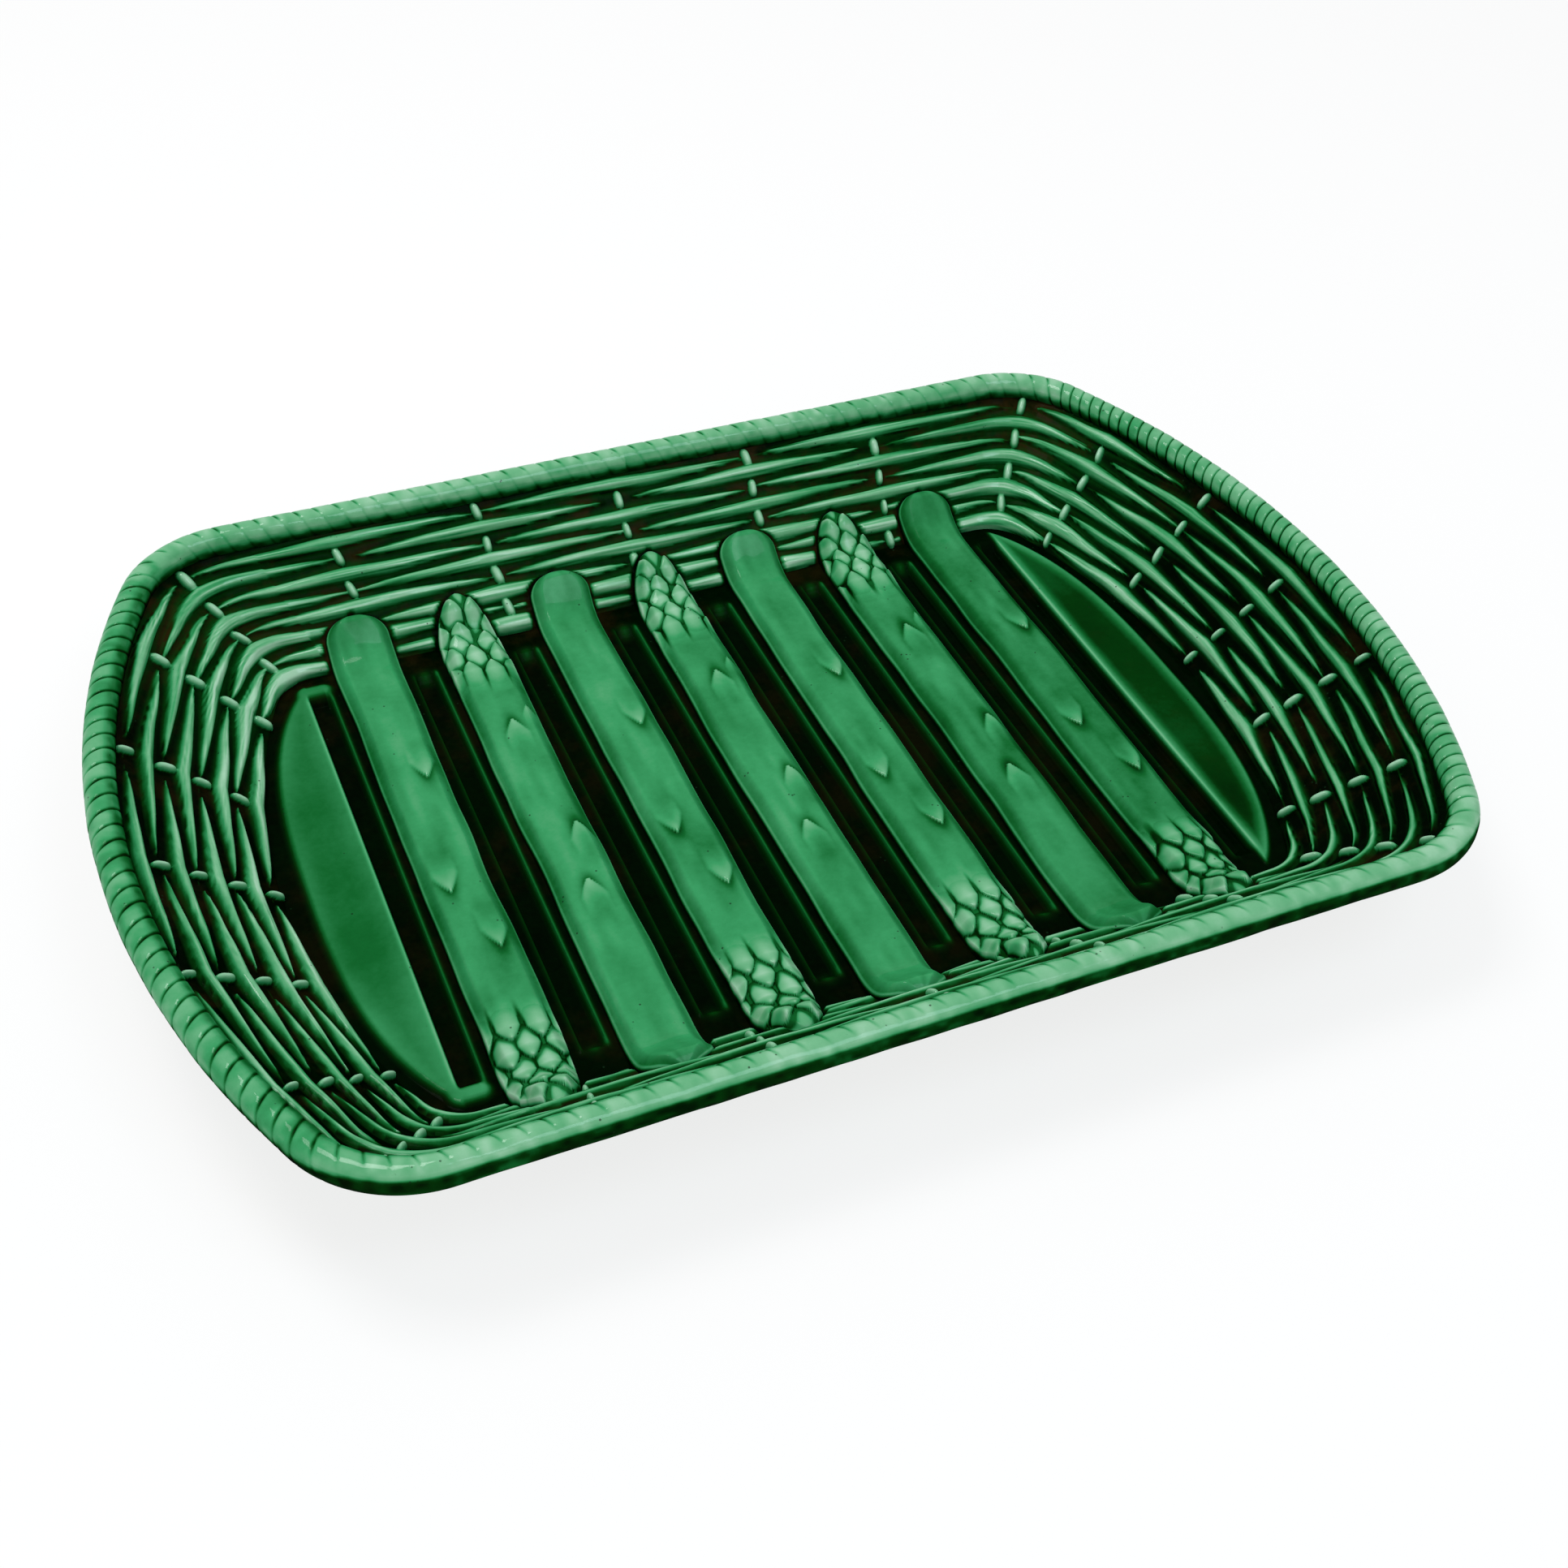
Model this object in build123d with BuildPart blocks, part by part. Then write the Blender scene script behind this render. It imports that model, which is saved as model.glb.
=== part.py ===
"""Asparagus plate: an oblong glazed earthenware platter with a basket-weave wall.

The plate stands on the XY plane with its centre over the origin, its length along X and +Z up.
Its relief is built up as a modeller builds the master for the mould: a plain dish first, then the
rope rim, the asparagus spears on the floor, the upright stakes of the basket and the strands that
pass over them, each set on what lies under it.
"""
import os
from math import asin, atan2, cos, pi, radians, sin, sqrt, tan

from build123d import *

# Overall plan, at the centre line of the rope rim
rim_length = 370.8
rim_width = 254.8
rim_end_radius = 253.8
rim_corner_radius = 31.7

# Heights above the table
foot_height = 2.0
floor_thickness = 6.2
wall_height = 29.6

# Wall of the dish
lip_inner_step = 2.5
lip_outer_step = 3.0
side_wall_run = 33.6
end_wall_run = 37.4
floor_corner_radius = 14.0
outer_foot_inset = 0.2

# Foot ring under the dish
foot_inset = 3.0
foot_width = 7.0
foot_draft = 1.0

# Rope rim
rope_radius = 4.6
rope_seat_drop = 2.6
rope_facets = 6

# Asparagus spears on the floor
spear_count = 7
spear_width = 20.0
spear_crown_width = 13.0
spear_height = 4.2
spear_edge_height = 1.2
spear_bend_radius = 20.0
spear_climb = 9.0
spear_tip_length = 38.0
butt_round = 5.0
seat_sink = 2.0

# Bud scales of the tips and bracts of the stems
scale_length = 10.5
scale_width = 5.2
scale_rise = 1.3
scale_row_step = 5.6
scale_rows = 6
bract_length = 15.0
bract_width = 5.0
bract_rise = 0.9
bract_points = ((30.0, 1), (-18.0, -1), (-42.0, 1))
leaf_belly = 0.55

# Drain channels between the spears and the plain panels at the ends
end_zone = 29.65
channel_width = 6.0
channel_length = 160.0
channel_depth = 2.8
panel_end_gap = 5.5
panel_arc_radius = 182.0
panel_rise = 1.0
panel_edge = 0.4

# Basket weave on the wall
side_stake_pitch_top = 47.2
side_stake_pitch_foot = 44.5
end_stake_angle_top = 10.4
end_stake_angle_foot = 9.8
far_stake_shift = 5.0
near_stake_shift = 1.0
stake_width = 2.8
stake_rise = 2.4
stake_show = 0.9
course_count = 8
strand_width = 3.9
strand_rise = 3.0
strand_reach = 0.82
strand_tip_share = 0.2
wall_strand_stops = (0.5,)
corner_strand_stops = (0.45, 0.2)
shortest_strand = 2.0
weave_top_margin = 0.03
weave_clearance = 0.3
relief_gap = 0.1
flat_enough = 1e-6

# Levels and places worked out from the sizes above
half_length = rim_length / 2
half_width = rim_width / 2
end_arc_center = half_length - rim_end_radius
floor_z = foot_height + floor_thickness
lip_z = floor_z + wall_height
rope_z = lip_z + rope_seat_drop
wall_top = (half_length - lip_inner_step, half_width - lip_inner_step, rim_corner_radius - lip_inner_step)
wall_foot = (wall_top[0] - end_wall_run, wall_top[1] - side_wall_run, floor_corner_radius)
side_slope = atan2(wall_height, side_wall_run)
side_stakes = (0, 1, 2, 3, 4, 12, 13, 14, 15, 16)
corner_stakes = (5, 11, 17, 23)
outer_channel_x = wall_foot[0] - end_zone
spear_pitch = 2 * outer_channel_x / spear_count

os.makedirs("parts", exist_ok=True)


def tray_face(reach_x, reach_y, corner_radius):
    """Face inside one level line of the tray: straight sides, arched ends, round corners."""
    corner_x = end_arc_center + sqrt((reach_x - end_arc_center) ** 2 - reach_y**2)
    with BuildSketch() as level:
        with BuildLine():
            Line((-corner_x, reach_y), (corner_x, reach_y))
            ThreePointArc((corner_x, reach_y), (reach_x, 0), (corner_x, -reach_y))
            Line((corner_x, -reach_y), (-corner_x, -reach_y))
            ThreePointArc((-corner_x, -reach_y), (-reach_x, 0), (-corner_x, reach_y))
        make_face()
        fillet(level.vertices(), corner_radius)
    return level.sketch


class LevelLine:
    """One level line of the tray, measured clockwise from the middle of the far side."""

    def __init__(self, reach_x, reach_y, corner_radius):
        self.reach_y = reach_y
        self.corner_radius = corner_radius
        self.end_radius = reach_x - end_arc_center
        inner_radius = self.end_radius - corner_radius
        self.corner_y = reach_y - corner_radius
        self.corner_x = end_arc_center + sqrt(inner_radius**2 - self.corner_y**2)
        self.end_angle = asin(self.corner_y / inner_radius)
        self.corner_run = corner_radius * (pi / 2 - self.end_angle)
        self.quarter = self.corner_x + self.corner_run + self.end_radius * self.end_angle

    def quarter_point(self, run):
        """Point and heading (clockwise from +X, in radians) within the first quarter."""
        if run < self.corner_x:
            return run, self.reach_y, 0.0
        run -= self.corner_x
        if run < self.corner_run:
            turn = run / self.corner_radius
            x = self.corner_x + self.corner_radius * sin(turn)
            return x, self.corner_y + self.corner_radius * cos(turn), turn
        angle = self.end_angle - (run - self.corner_run) / self.end_radius
        x = end_arc_center + self.end_radius * cos(angle)
        return x, self.end_radius * sin(angle), pi / 2 - angle

    def point(self, run):
        """Point and unit tangent at a run along the whole line."""
        quadrant, rest = divmod(run, self.quarter)
        quadrant = int(quadrant) % 4
        x, y, heading = self.quarter_point(self.quarter - rest if quadrant % 2 else rest)
        tangent_x, tangent_y = cos(heading), -sin(heading)
        if quadrant == 1:
            return x, -y, -tangent_x, tangent_y
        if quadrant == 2:
            return -x, -y, -tangent_x, -tangent_y
        if quadrant == 3:
            return -x, y, tangent_x, -tangent_y
        return x, y, tangent_x, tangent_y

    def stake_runs(self, side_pitch, end_angle_step):
        """Runs of the stakes: the far side, a corner, an end, and so on round the tray."""
        end_step = radians(end_angle_step) * self.end_radius
        corner = self.corner_x + self.corner_run / 2
        runs = []
        for side, shift in enumerate((-far_stake_shift, near_stake_shift)):
            start = 2 * self.quarter * side
            runs += [start + shift + step * side_pitch for step in (-2, -1, 0, 1, 2)]
            runs += [start + corner]
            runs += [start + self.quarter + step * end_step for step in (-2, -1, 0, 1, 2)]
            runs += [start + 2 * self.quarter - corner]
        return runs


def between(top, foot, depth):
    """Value at a depth down the wall, 0 at the lip and 1 at the floor."""
    return top + (foot - top) * depth


def wall_level(depth):
    """Level line of the wall's inner face, its height and the runs of its stakes."""
    line = LevelLine(*(between(top, foot, depth) for top, foot in zip(wall_top, wall_foot)))
    side_pitch = between(side_stake_pitch_top, side_stake_pitch_foot, depth)
    end_angle = between(end_stake_angle_top, end_stake_angle_foot, depth)
    return line, between(lip_z, floor_z, depth), line.stake_runs(side_pitch, end_angle)


def wall_plane(depth, run):
    """Plane across the weave: its X up the slope, its Y square out of the wall."""
    line, height, _ = wall_level(depth)
    x, y, tangent_x, tangent_y = line.point(run)
    along = Vector(tangent_x, tangent_y, 0)
    inward = Vector(tangent_y, -tangent_x, 0)
    wall_run = inward.Y**2 * side_wall_run + inward.X**2 * end_wall_run
    return Plane((x, y, height), x_dir=Vector(0, 0, wall_height) - inward * wall_run, z_dir=along)


def faceted_solid(sections):
    """Solid through a row of sections with the same number of corners, in flat facets."""
    facets = [Face(Wire.make_polygon(sections[0])), Face(Wire.make_polygon(sections[-1]))]
    for first, second in zip(sections, sections[1:]):
        for corner in range(len(first)):
            a, b, c, d = first[corner - 1], first[corner], second[corner], second[corner - 1]
            if abs((b - a).cross(c - a).normalized().dot(d - a)) < flat_enough:
                facets.append(Face(Wire.make_polygon((a, b, c, d))))
            else:
                facets.append(Face(Wire.make_polygon((a, b, c))))
                facets.append(Face(Wire.make_polygon((a, c, d))))
    return Solid(Shell(facets))


# Dish: a floor and a sloping wall, with the drain channels let into the floor
with BuildPart() as dish:
    with BuildSketch(Plane.XY.offset(foot_height)):
        add(tray_face(wall_foot[0] + outer_foot_inset, wall_foot[1] + outer_foot_inset, floor_corner_radius))
    with BuildSketch(Plane.XY.offset(lip_z)):
        lip_radius = rim_corner_radius + lip_outer_step
        add(tray_face(half_length + lip_outer_step, half_width + lip_outer_step, lip_radius))
    loft(ruled=True)
    with BuildSketch(Plane.XY.offset(floor_z)):
        add(tray_face(*wall_foot))
    with BuildSketch(Plane.XY.offset(lip_z)):
        add(tray_face(*wall_top))
    loft(ruled=True, mode=Mode.SUBTRACT)
    with BuildSketch(Plane.XY.offset(floor_z)):
        with GridLocations(spear_pitch, 0, spear_count + 1, 1):
            Rectangle(channel_width, channel_length)
    extrude(amount=-channel_depth, mode=Mode.SUBTRACT)
dish.part.label = "dish"
export_step(dish.part, "parts/dish.step")

# Foot ring that the plate stands on
foot_outer = (wall_foot[0] - foot_inset, wall_foot[1] - foot_inset, floor_corner_radius)
with BuildPart() as foot_ring:
    for height, draft in ((0, foot_draft), (foot_height, 0)):
        with BuildSketch(Plane.XY.offset(height)):
            add(tray_face(foot_outer[0] - draft, foot_outer[1] - draft, foot_outer[2]))
    loft(ruled=True)
    for height, draft in ((0, -foot_draft), (foot_height, 0)):
        inset = foot_width + draft
        with BuildSketch(Plane.XY.offset(height)):
            add(tray_face(foot_outer[0] - inset, foot_outer[1] - inset, foot_outer[2] - foot_width / 2))
    loft(ruled=True, mode=Mode.SUBTRACT)
foot_ring.part.label = "foot_ring"
export_step(foot_ring.part, "parts/foot_ring.step")

# Rope rim: a roll that sits on the lip all round
rope_line = LevelLine(half_length, half_width, rim_corner_radius)
corner_end = rope_line.corner_x + rope_line.corner_run
with BuildPart() as rope_rim:
    with BuildLine(Plane.XY.offset(rope_z)):
        Line(rope_line.point(0)[:2], rope_line.point(rope_line.corner_x)[:2])
        corner_stops = (rope_line.corner_x, (rope_line.corner_x + corner_end) / 2, corner_end)
        ThreePointArc(*(rope_line.point(run)[:2] for run in corner_stops))
        end_stops = (corner_end, (corner_end + rope_line.quarter) / 2, rope_line.quarter)
        ThreePointArc(*(rope_line.quarter_point(run)[:2] for run in end_stops))
    with BuildSketch(Plane((0, half_width, rope_z), x_dir=(0, 1, 0), z_dir=(1, 0, 0))):
        seat = asin(rope_seat_drop / rope_radius)
        turns = [-seat, *(pi * step / rope_facets for step in range(rope_facets + 1)), pi + seat]
        Polygon(*((rope_radius * cos(turn), rope_radius * sin(turn)) for turn in turns), align=None)
    sweep()
    mirror(about=Plane.YZ)
    mirror(about=Plane.XZ)
rope_rim.part.label = "rope_rim"
export_step(rope_rim.part, "parts/rope_rim.step")

# Plain panels that fill the floor between the outer drain channels and the ends
panel_inner_x = outer_channel_x + channel_width / 2
panel_outer_x = wall_foot[0] - panel_end_gap
panel_half = sqrt(panel_arc_radius**2 - (panel_arc_radius - panel_outer_x + panel_inner_x) ** 2)
for side, side_name in ((-1, "left"), (1, "right")):
    with BuildPart() as panel:
        with BuildSketch(Plane.XY.offset(floor_z)):
            with BuildLine():
                Line((side * panel_inner_x, -panel_half), (side * panel_inner_x, panel_half))
                ThreePointArc(
                    (side * panel_inner_x, panel_half),
                    (side * panel_outer_x, 0),
                    (side * panel_inner_x, -panel_half),
                )
            make_face()
        extrude(amount=panel_rise)
        chamfer(panel.faces().sort_by(Axis.Z)[-1].edges(), panel_edge)
    panel.part.label = f"end_panel_{side_name}"
    export_step(panel.part, f"parts/end_panel_{side_name}.step")

# Path of a spear: flat on the floor, bent up at both ends to lie on the side walls
spear_flat = wall_foot[1] - spear_bend_radius * tan(side_slope / 2)
spear_bend = spear_bend_radius * side_slope
spear_reach = spear_flat + spear_bend + spear_climb
tip_start = spear_reach - spear_tip_length


def spear_plane(run):
    """Plane across a spear at a run from its middle towards the tip, its Y out of the plate."""
    past = abs(run) - spear_flat
    way = -1 if run > 0 else 1
    turn = min(max(past / spear_bend_radius, 0), side_slope)
    climb = max(past - spear_bend, 0)
    y = min(abs(run), spear_flat) + spear_bend_radius * sin(turn) + climb * cos(turn)
    z = floor_z + spear_bend_radius * (1 - cos(turn)) + climb * sin(turn)
    return Plane((0, way * y, z), x_dir=(1, 0, 0), z_dir=(0, -cos(turn), -way * sin(turn)))


def spear_shape(run):
    """Share of the full width and height that a spear has at a run: round butt, pointed tip."""
    outline = (
        (-spear_reach, 0.60, 0.35),
        (-spear_reach + butt_round * 0.4, 0.86, 0.80),
        (-spear_reach + butt_round, 1.0, 1.0),
        (tip_start, 1.0, 1.0),
        (tip_start + spear_tip_length * 0.5, 0.90, 1.0),
        (tip_start + spear_tip_length * 0.8, 0.64, 0.9),
        (spear_reach, 0.22, 0.4),
    )
    for (run_a, wide_a, high_a), (run_b, wide_b, high_b) in zip(outline, outline[1:]):
        if run <= run_b:
            share = (run - run_a) / (run_b - run_a)
            return between(wide_a, wide_b, share), between(high_a, high_b, share)
    return outline[-1][1:]


def spear_skin(run, x):
    """Height of a spear's surface over its path, at a run along it and a distance off its middle."""
    wide, high = spear_shape(run)
    shoulder = wide * spear_crown_width / 2
    edge = wide * spear_width / 2
    share = min(max((abs(x) - shoulder) / (edge - shoulder), 0), 1)
    return high * between(spear_height, spear_edge_height, share)


def spear_section(run):
    """Corners of a spear across its path, sunk below the floor so that the dish trims its seat."""
    across = spear_plane(run)
    wide, high = spear_shape(run)
    edge, shoulder = wide * spear_width / 2, wide * spear_crown_width / 2
    rim, crown = high * spear_edge_height, high * spear_height
    corners = (
        (-edge, -seat_sink),
        (edge, -seat_sink),
        (edge, rim),
        (shoulder, crown),
        (-shoulder, crown),
        (-edge, rim),
    )
    return [across.from_local_coords(Vector(x, y, 0)) for x, y in corners]


# Pattern spear, its tip towards the near side, trimmed to the floor and the walls
bend_stops = [spear_flat + spear_bend * share for share in (0, 0.25, 0.5, 0.75, 1)]
tip_stops = [tip_start + spear_tip_length * share for share in (0, 0.5, 0.8, 1)]
butt_stops = [-spear_reach, -spear_reach + butt_round * 0.4, -spear_reach + butt_round]
spear_stops = sorted(bend_stops + tip_stops + butt_stops + [-stop for stop in bend_stops])
with BuildPart() as spear_pattern:
    add(faceted_solid([spear_section(run) for run in spear_stops]))
    add(dish.part, mode=Mode.SUBTRACT)


def leaf_places():
    """Root, side step, length, width and rise of each bud scale and bract, from tip to butt."""
    crown_step = spear_crown_width / 4
    flank_step = (spear_width + spear_crown_width) / 4
    flank_width = (spear_width - spear_crown_width) / 2
    for row in range(scale_rows):
        root = tip_start + scale_row_step * row
        if row % 2:
            yield root, 0, scale_length, scale_width, scale_rise
            yield root, flank_step, scale_length, flank_width, scale_rise
            yield root, -flank_step, scale_length, flank_width, scale_rise
        else:
            yield root, crown_step, scale_length, scale_width, scale_rise
            yield root, -crown_step, scale_length, scale_width, scale_rise
    for point, side in bract_points:
        yield point - bract_length, side * crown_step, bract_length, bract_width, bract_rise


def on_spear(run, x):
    """Point just over a spear's skin, at a run along it and a distance off its middle."""
    return spear_plane(run).from_local_coords(Vector(x, spear_skin(run, x) + relief_gap, 0))


# Pattern of the bud scales and bracts: pointed leaves that lie on a spear towards its tip
with BuildPart() as scale_pattern:
    leaves = []
    for root, step, length, width, rise in leaf_places():
        belly, point = root + leaf_belly * length, root + length
        wide = spear_shape(belly)[0]
        middle, half = wide * step, wide * width / 2
        with BuildSketch(spear_plane(belly), mode=Mode.PRIVATE) as section:
            Polygon(
                (middle - half, spear_skin(belly, middle - half) + relief_gap),
                (middle + half, spear_skin(belly, middle + half) + relief_gap),
                (middle, spear_skin(belly, middle) + relief_gap + rise),
                align=None,
            )
        ends = [Vertex(*on_spear(run, spear_shape(run)[0] * step)) for run in (root, point)]
        leaves.append(loft([ends[0], section.sketch, ends[1]], ruled=True, mode=Mode.PRIVATE))
    add(leaves)

# Spears and their scales, set across the floor with tips to the near and the far side by turns
spear_middles = [(number - (spear_count - 1) / 2) * spear_pitch for number in range(spear_count)]
for number, middle in enumerate(spear_middles, start=1):
    place = Location((middle, 0, 0), (0, 0, 180 * (1 - number % 2)))
    for name, pattern in ((f"spear_{number}", spear_pattern), (f"spear_{number}_scales", scale_pattern)):
        with BuildPart() as relief:
            with Locations(place):
                add(pattern.part)
        relief.part.label = name
        export_step(relief.part, f"parts/{name}.step")

# How far down the wall the ends of the spears reach, and how much of the wall each one covers
spear_end_depth = 1 - (spear_plane(spear_reach).origin.Z - floor_z) / wall_height
spear_cover = spear_width / 2 + weave_clearance


def clear_of_spears(low, high, depth, level):
    """Stretches of a run round the wall that no spear covers at this depth."""
    stretches = [(low, high)]
    if depth < spear_end_depth - weave_clearance / wall_height:
        return stretches
    for wall_middle in (0, 2 * level.quarter, 4 * level.quarter):
        for spear_middle in spear_middles:
            left, right = wall_middle + spear_middle - spear_cover, wall_middle + spear_middle + spear_cover
            cut = [(start, min(stop, left)) for start, stop in stretches]
            cut += [(max(start, right), stop) for start, stop in stretches]
            stretches = [(start, stop) for start, stop in cut if stop - start > shortest_strand]
    return stretches


# Stakes: the uprights of the basket, which show as pegs between the strands that cross them
course_step = (1 - weave_top_margin) / course_count
with BuildPart() as stakes:
    pegs = []
    for course in range(course_count):
        depth = weave_top_margin + (course + 0.5) * course_step
        peg_share = course_step * stake_show / 2
        above, below = wall_level(depth - peg_share), wall_level(depth + peg_share)
        for stake in range((course + 1) % 2, len(above[2]), 2):
            top = Vector(*above[0].point(above[2][stake])[:2], above[1])
            foot = Vector(*below[0].point(below[2][stake])[:2], below[1])
            near_spear = any(abs(foot.X - x) < spear_cover + stake_width / 2 for x in spear_middles)
            if near_spear and stake in side_stakes and depth + peg_share > spear_end_depth:
                continue
            along = wall_plane(depth, wall_level(depth)[2][stake]).z_dir
            with BuildSketch(Plane(top, x_dir=along, z_dir=foot - top)):
                Polygon(
                    (-stake_width / 2, relief_gap),
                    (stake_width / 2, relief_gap),
                    (stake_width / 2, stake_rise / 2),
                    (0, stake_rise),
                    (-stake_width / 2, stake_rise / 2),
                    align=None,
                )
            pegs.append(extrude(amount=(foot - top).length, mode=Mode.PRIVATE))
    add(pegs)
stakes.part.label = "stakes"
export_step(stakes.part, "parts/stakes.step")


def strand_section(across, share):
    """Corners of a strand on a plane across its run: a ridge, full at its stake and fine at its tips."""
    size = between(1, strand_tip_share, abs(share) ** 1.5)
    half = size * strand_width / 2
    corners = (-half, relief_gap), (half, relief_gap), (0, relief_gap + size * strand_rise)
    return [across.from_local_coords(Vector(x, y, 0)) for x, y in corners]


# Strands: each course passes over every second stake, and the next course over the others
for course in range(course_count):
    depth = weave_top_margin + (course + 0.5) * course_step
    level, _, runs = wall_level(depth)
    around = 4 * level.quarter
    with BuildPart() as strands:
        lengths = []
        for stake in range(course % 2, len(runs), 2):
            middle = runs[stake]
            before = strand_reach * ((middle - runs[stake - 1]) % around)
            after = strand_reach * ((runs[(stake + 1) % len(runs)] - middle) % around)
            at_corner = stake in corner_stakes
            shares = corner_strand_stops if at_corner else wall_strand_stops
            square = wall_plane(depth, middle)
            stops = [-share * before for share in shares] + [0]
            stops += [share * after for share in reversed(shares)]
            for low, high in clear_of_spears(middle - before, middle + after, depth, level):
                inner = [middle + stop for stop in stops]
                inner = [run for run in inner if low + weave_clearance < run < high - weave_clearance]
                sections = []
                for run in [low, *inner, high]:
                    share = (run - middle) / (after if run > middle else before)
                    across = wall_plane(depth, run)
                    if not at_corner:
                        across = Plane(across.origin, x_dir=square.x_dir, z_dir=square.z_dir)
                    sections.append(strand_section(across, share))
                lengths.append(faceted_solid(sections))
        add(lengths)
    strands.part.label = f"weave_course_{course + 1}"
    export_step(strands.part, f"parts/weave_course_{course + 1}.step")
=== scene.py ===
# %% [markdown]
# An asparagus plate in majolica: one casting of pale earthenware under a translucent green glaze.
# The solids give the sizes. This script lays the fine relief over them, piece by piece, as height maps
# carried along the level lines of the tray, and then works out a glaze that gathers in the hollows, with
# painted shade in the hollows and painted highlight on the crests.

import bpy
import numpy as np
from mathutils import Matrix, Vector


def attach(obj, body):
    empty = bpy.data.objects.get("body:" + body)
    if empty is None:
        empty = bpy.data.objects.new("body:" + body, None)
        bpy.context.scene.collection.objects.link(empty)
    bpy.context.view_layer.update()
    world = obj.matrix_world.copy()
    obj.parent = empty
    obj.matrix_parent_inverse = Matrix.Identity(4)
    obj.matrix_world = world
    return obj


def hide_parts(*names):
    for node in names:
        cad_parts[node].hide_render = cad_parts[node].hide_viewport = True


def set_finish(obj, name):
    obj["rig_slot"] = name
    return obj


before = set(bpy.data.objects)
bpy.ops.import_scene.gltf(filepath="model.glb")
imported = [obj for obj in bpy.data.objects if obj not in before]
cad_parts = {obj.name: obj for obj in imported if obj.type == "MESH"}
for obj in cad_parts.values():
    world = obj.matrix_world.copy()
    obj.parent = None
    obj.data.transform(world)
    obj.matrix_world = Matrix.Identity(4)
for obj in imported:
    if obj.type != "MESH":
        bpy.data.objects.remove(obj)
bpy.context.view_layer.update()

# %% [markdown]
# The camera stands where the photograph was taken from: to the left of the middle, a little over forty
# degrees up, and rolled by a few degrees, because the plate lies slightly aslant in the picture. A camera
# looks straight down before it is turned, so its pitch is measured from there.

# %% Camera
MM = 0.001
CAMERA_PLACE = Vector((-179.34, -394.54, 402.25)) * MM
CAMERA_YAW, CAMERA_PITCH, CAMERA_ROLL = np.radians((-25.089, 47.431, 2.804))
camera = bpy.data.objects.new("camera", bpy.data.cameras.new("camera"))
bpy.context.scene.collection.objects.link(camera)
bpy.context.scene.camera = camera
camera.data.lens = 44.961
camera.data.sensor_width = 36.0
camera.data.clip_start = 0.01
turned = Matrix.Rotation(CAMERA_YAW, 4, "Z") @ Matrix.Rotation(CAMERA_PITCH, 4, "X")
camera.matrix_world = Matrix.Translation(CAMERA_PLACE) @ turned @ Matrix.Rotation(CAMERA_ROLL, 4, "Z")
print("camera at", [round(v, 3) for v in camera.location])

# %% [markdown]
# Every piece is a grid of points, so one helper turns a grid into a closed mesh. A row or a column can
# close on itself, and open ends get a cap. The helper sums up the volume that the faces enclose, which is
# negative where they look inwards, and then turns them round. It also stores a tone at each point, the
# glaze's thickness with painted shade and painted highlight mixed in on most pieces, which the material
# reads as an attribute.


# %% Grid to mesh
def smooth_step(low, high, value):
    """0 below low, 1 above high, and between them the S-curve 3t^2 - 2t^3."""
    t = np.clip((value - low) / (high - low), 0, 1)
    return t * t * (3 - 2 * t)


def grid_piece(name, points, pool, wrap_rows, slot, nodes, sharp):
    """Mesh of a (rows, columns, 3) grid in millimetres whose rows close on themselves.

    With wrap_rows the columns close too, as on a ring; otherwise each open end gets a cap. Edges that
    turn by more than sharp degrees are shaded as edges.
    """
    rows, columns, _ = points.shape
    index = np.arange(rows * columns).reshape(rows, columns)
    low = index if wrap_rows else index[:-1]
    high = np.roll(index, -1, axis=0) if wrap_rows else index[1:]
    quads = np.stack([low, np.roll(low, -1, 1), np.roll(high, -1, 1), high], axis=-1).reshape(-1, 4)
    flat = points.reshape(-1, 3) * MM
    corners = flat[quads]
    spread = np.cross(corners[:, 2] - corners[:, 0], corners[:, 3] - corners[:, 1])
    centre = flat.mean(axis=0)
    outward = np.einsum("ij,ij->", spread, corners.mean(axis=1) - centre) > 0
    if not outward:
        quads = quads[:, ::-1]
    sizes = np.full(len(quads), 4)
    loops = quads.ravel()
    if not wrap_rows:
        caps = [index[0][::-1], index[-1]] if outward else [index[0], index[-1][::-1]]
        loops = np.concatenate([loops, *caps])
        sizes = np.concatenate([sizes, [columns, columns]])
    mesh = bpy.data.meshes.new(name)
    mesh.vertices.add(len(flat))
    mesh.vertices.foreach_set("co", flat.ravel())
    mesh.loops.add(len(loops))
    mesh.loops.foreach_set("vertex_index", loops)
    mesh.polygons.add(len(sizes))
    mesh.polygons.foreach_set("loop_start", np.concatenate([[0], np.cumsum(sizes)[:-1]]))
    mesh.polygons.foreach_set("use_smooth", np.ones(len(sizes), bool))
    mesh.update(calc_edges=True)
    # The stored tone is the glaze's thickness, with painted shade and painted highlight mixed in on most
    # pieces.
    stored = mesh.attributes.new("pool", "FLOAT", "POINT")
    stored.data.foreach_set("value", pool.ravel().astype(np.float32))
    mesh.set_sharp_from_angle(angle=np.radians(sharp))
    piece = bpy.data.objects.new(name, mesh)
    bpy.context.scene.collection.objects.link(piece)
    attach(piece, "root")
    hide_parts(*nodes)
    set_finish(piece, slot)
    print(name, "quads:", len(quads), "capped:", not wrap_rows)
    return piece


# %% [markdown]
# Hand modelling is never quite even. Seeded waves, a few sines with drawn phases, and seeded patches, a
# smooth noise, bend each piece by fractions of a millimetre and vary its glaze. The seed gives the same
# plate on each run.


# %% Seeded unevenness
CELLS = 256
rng = np.random.default_rng(7)


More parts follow.
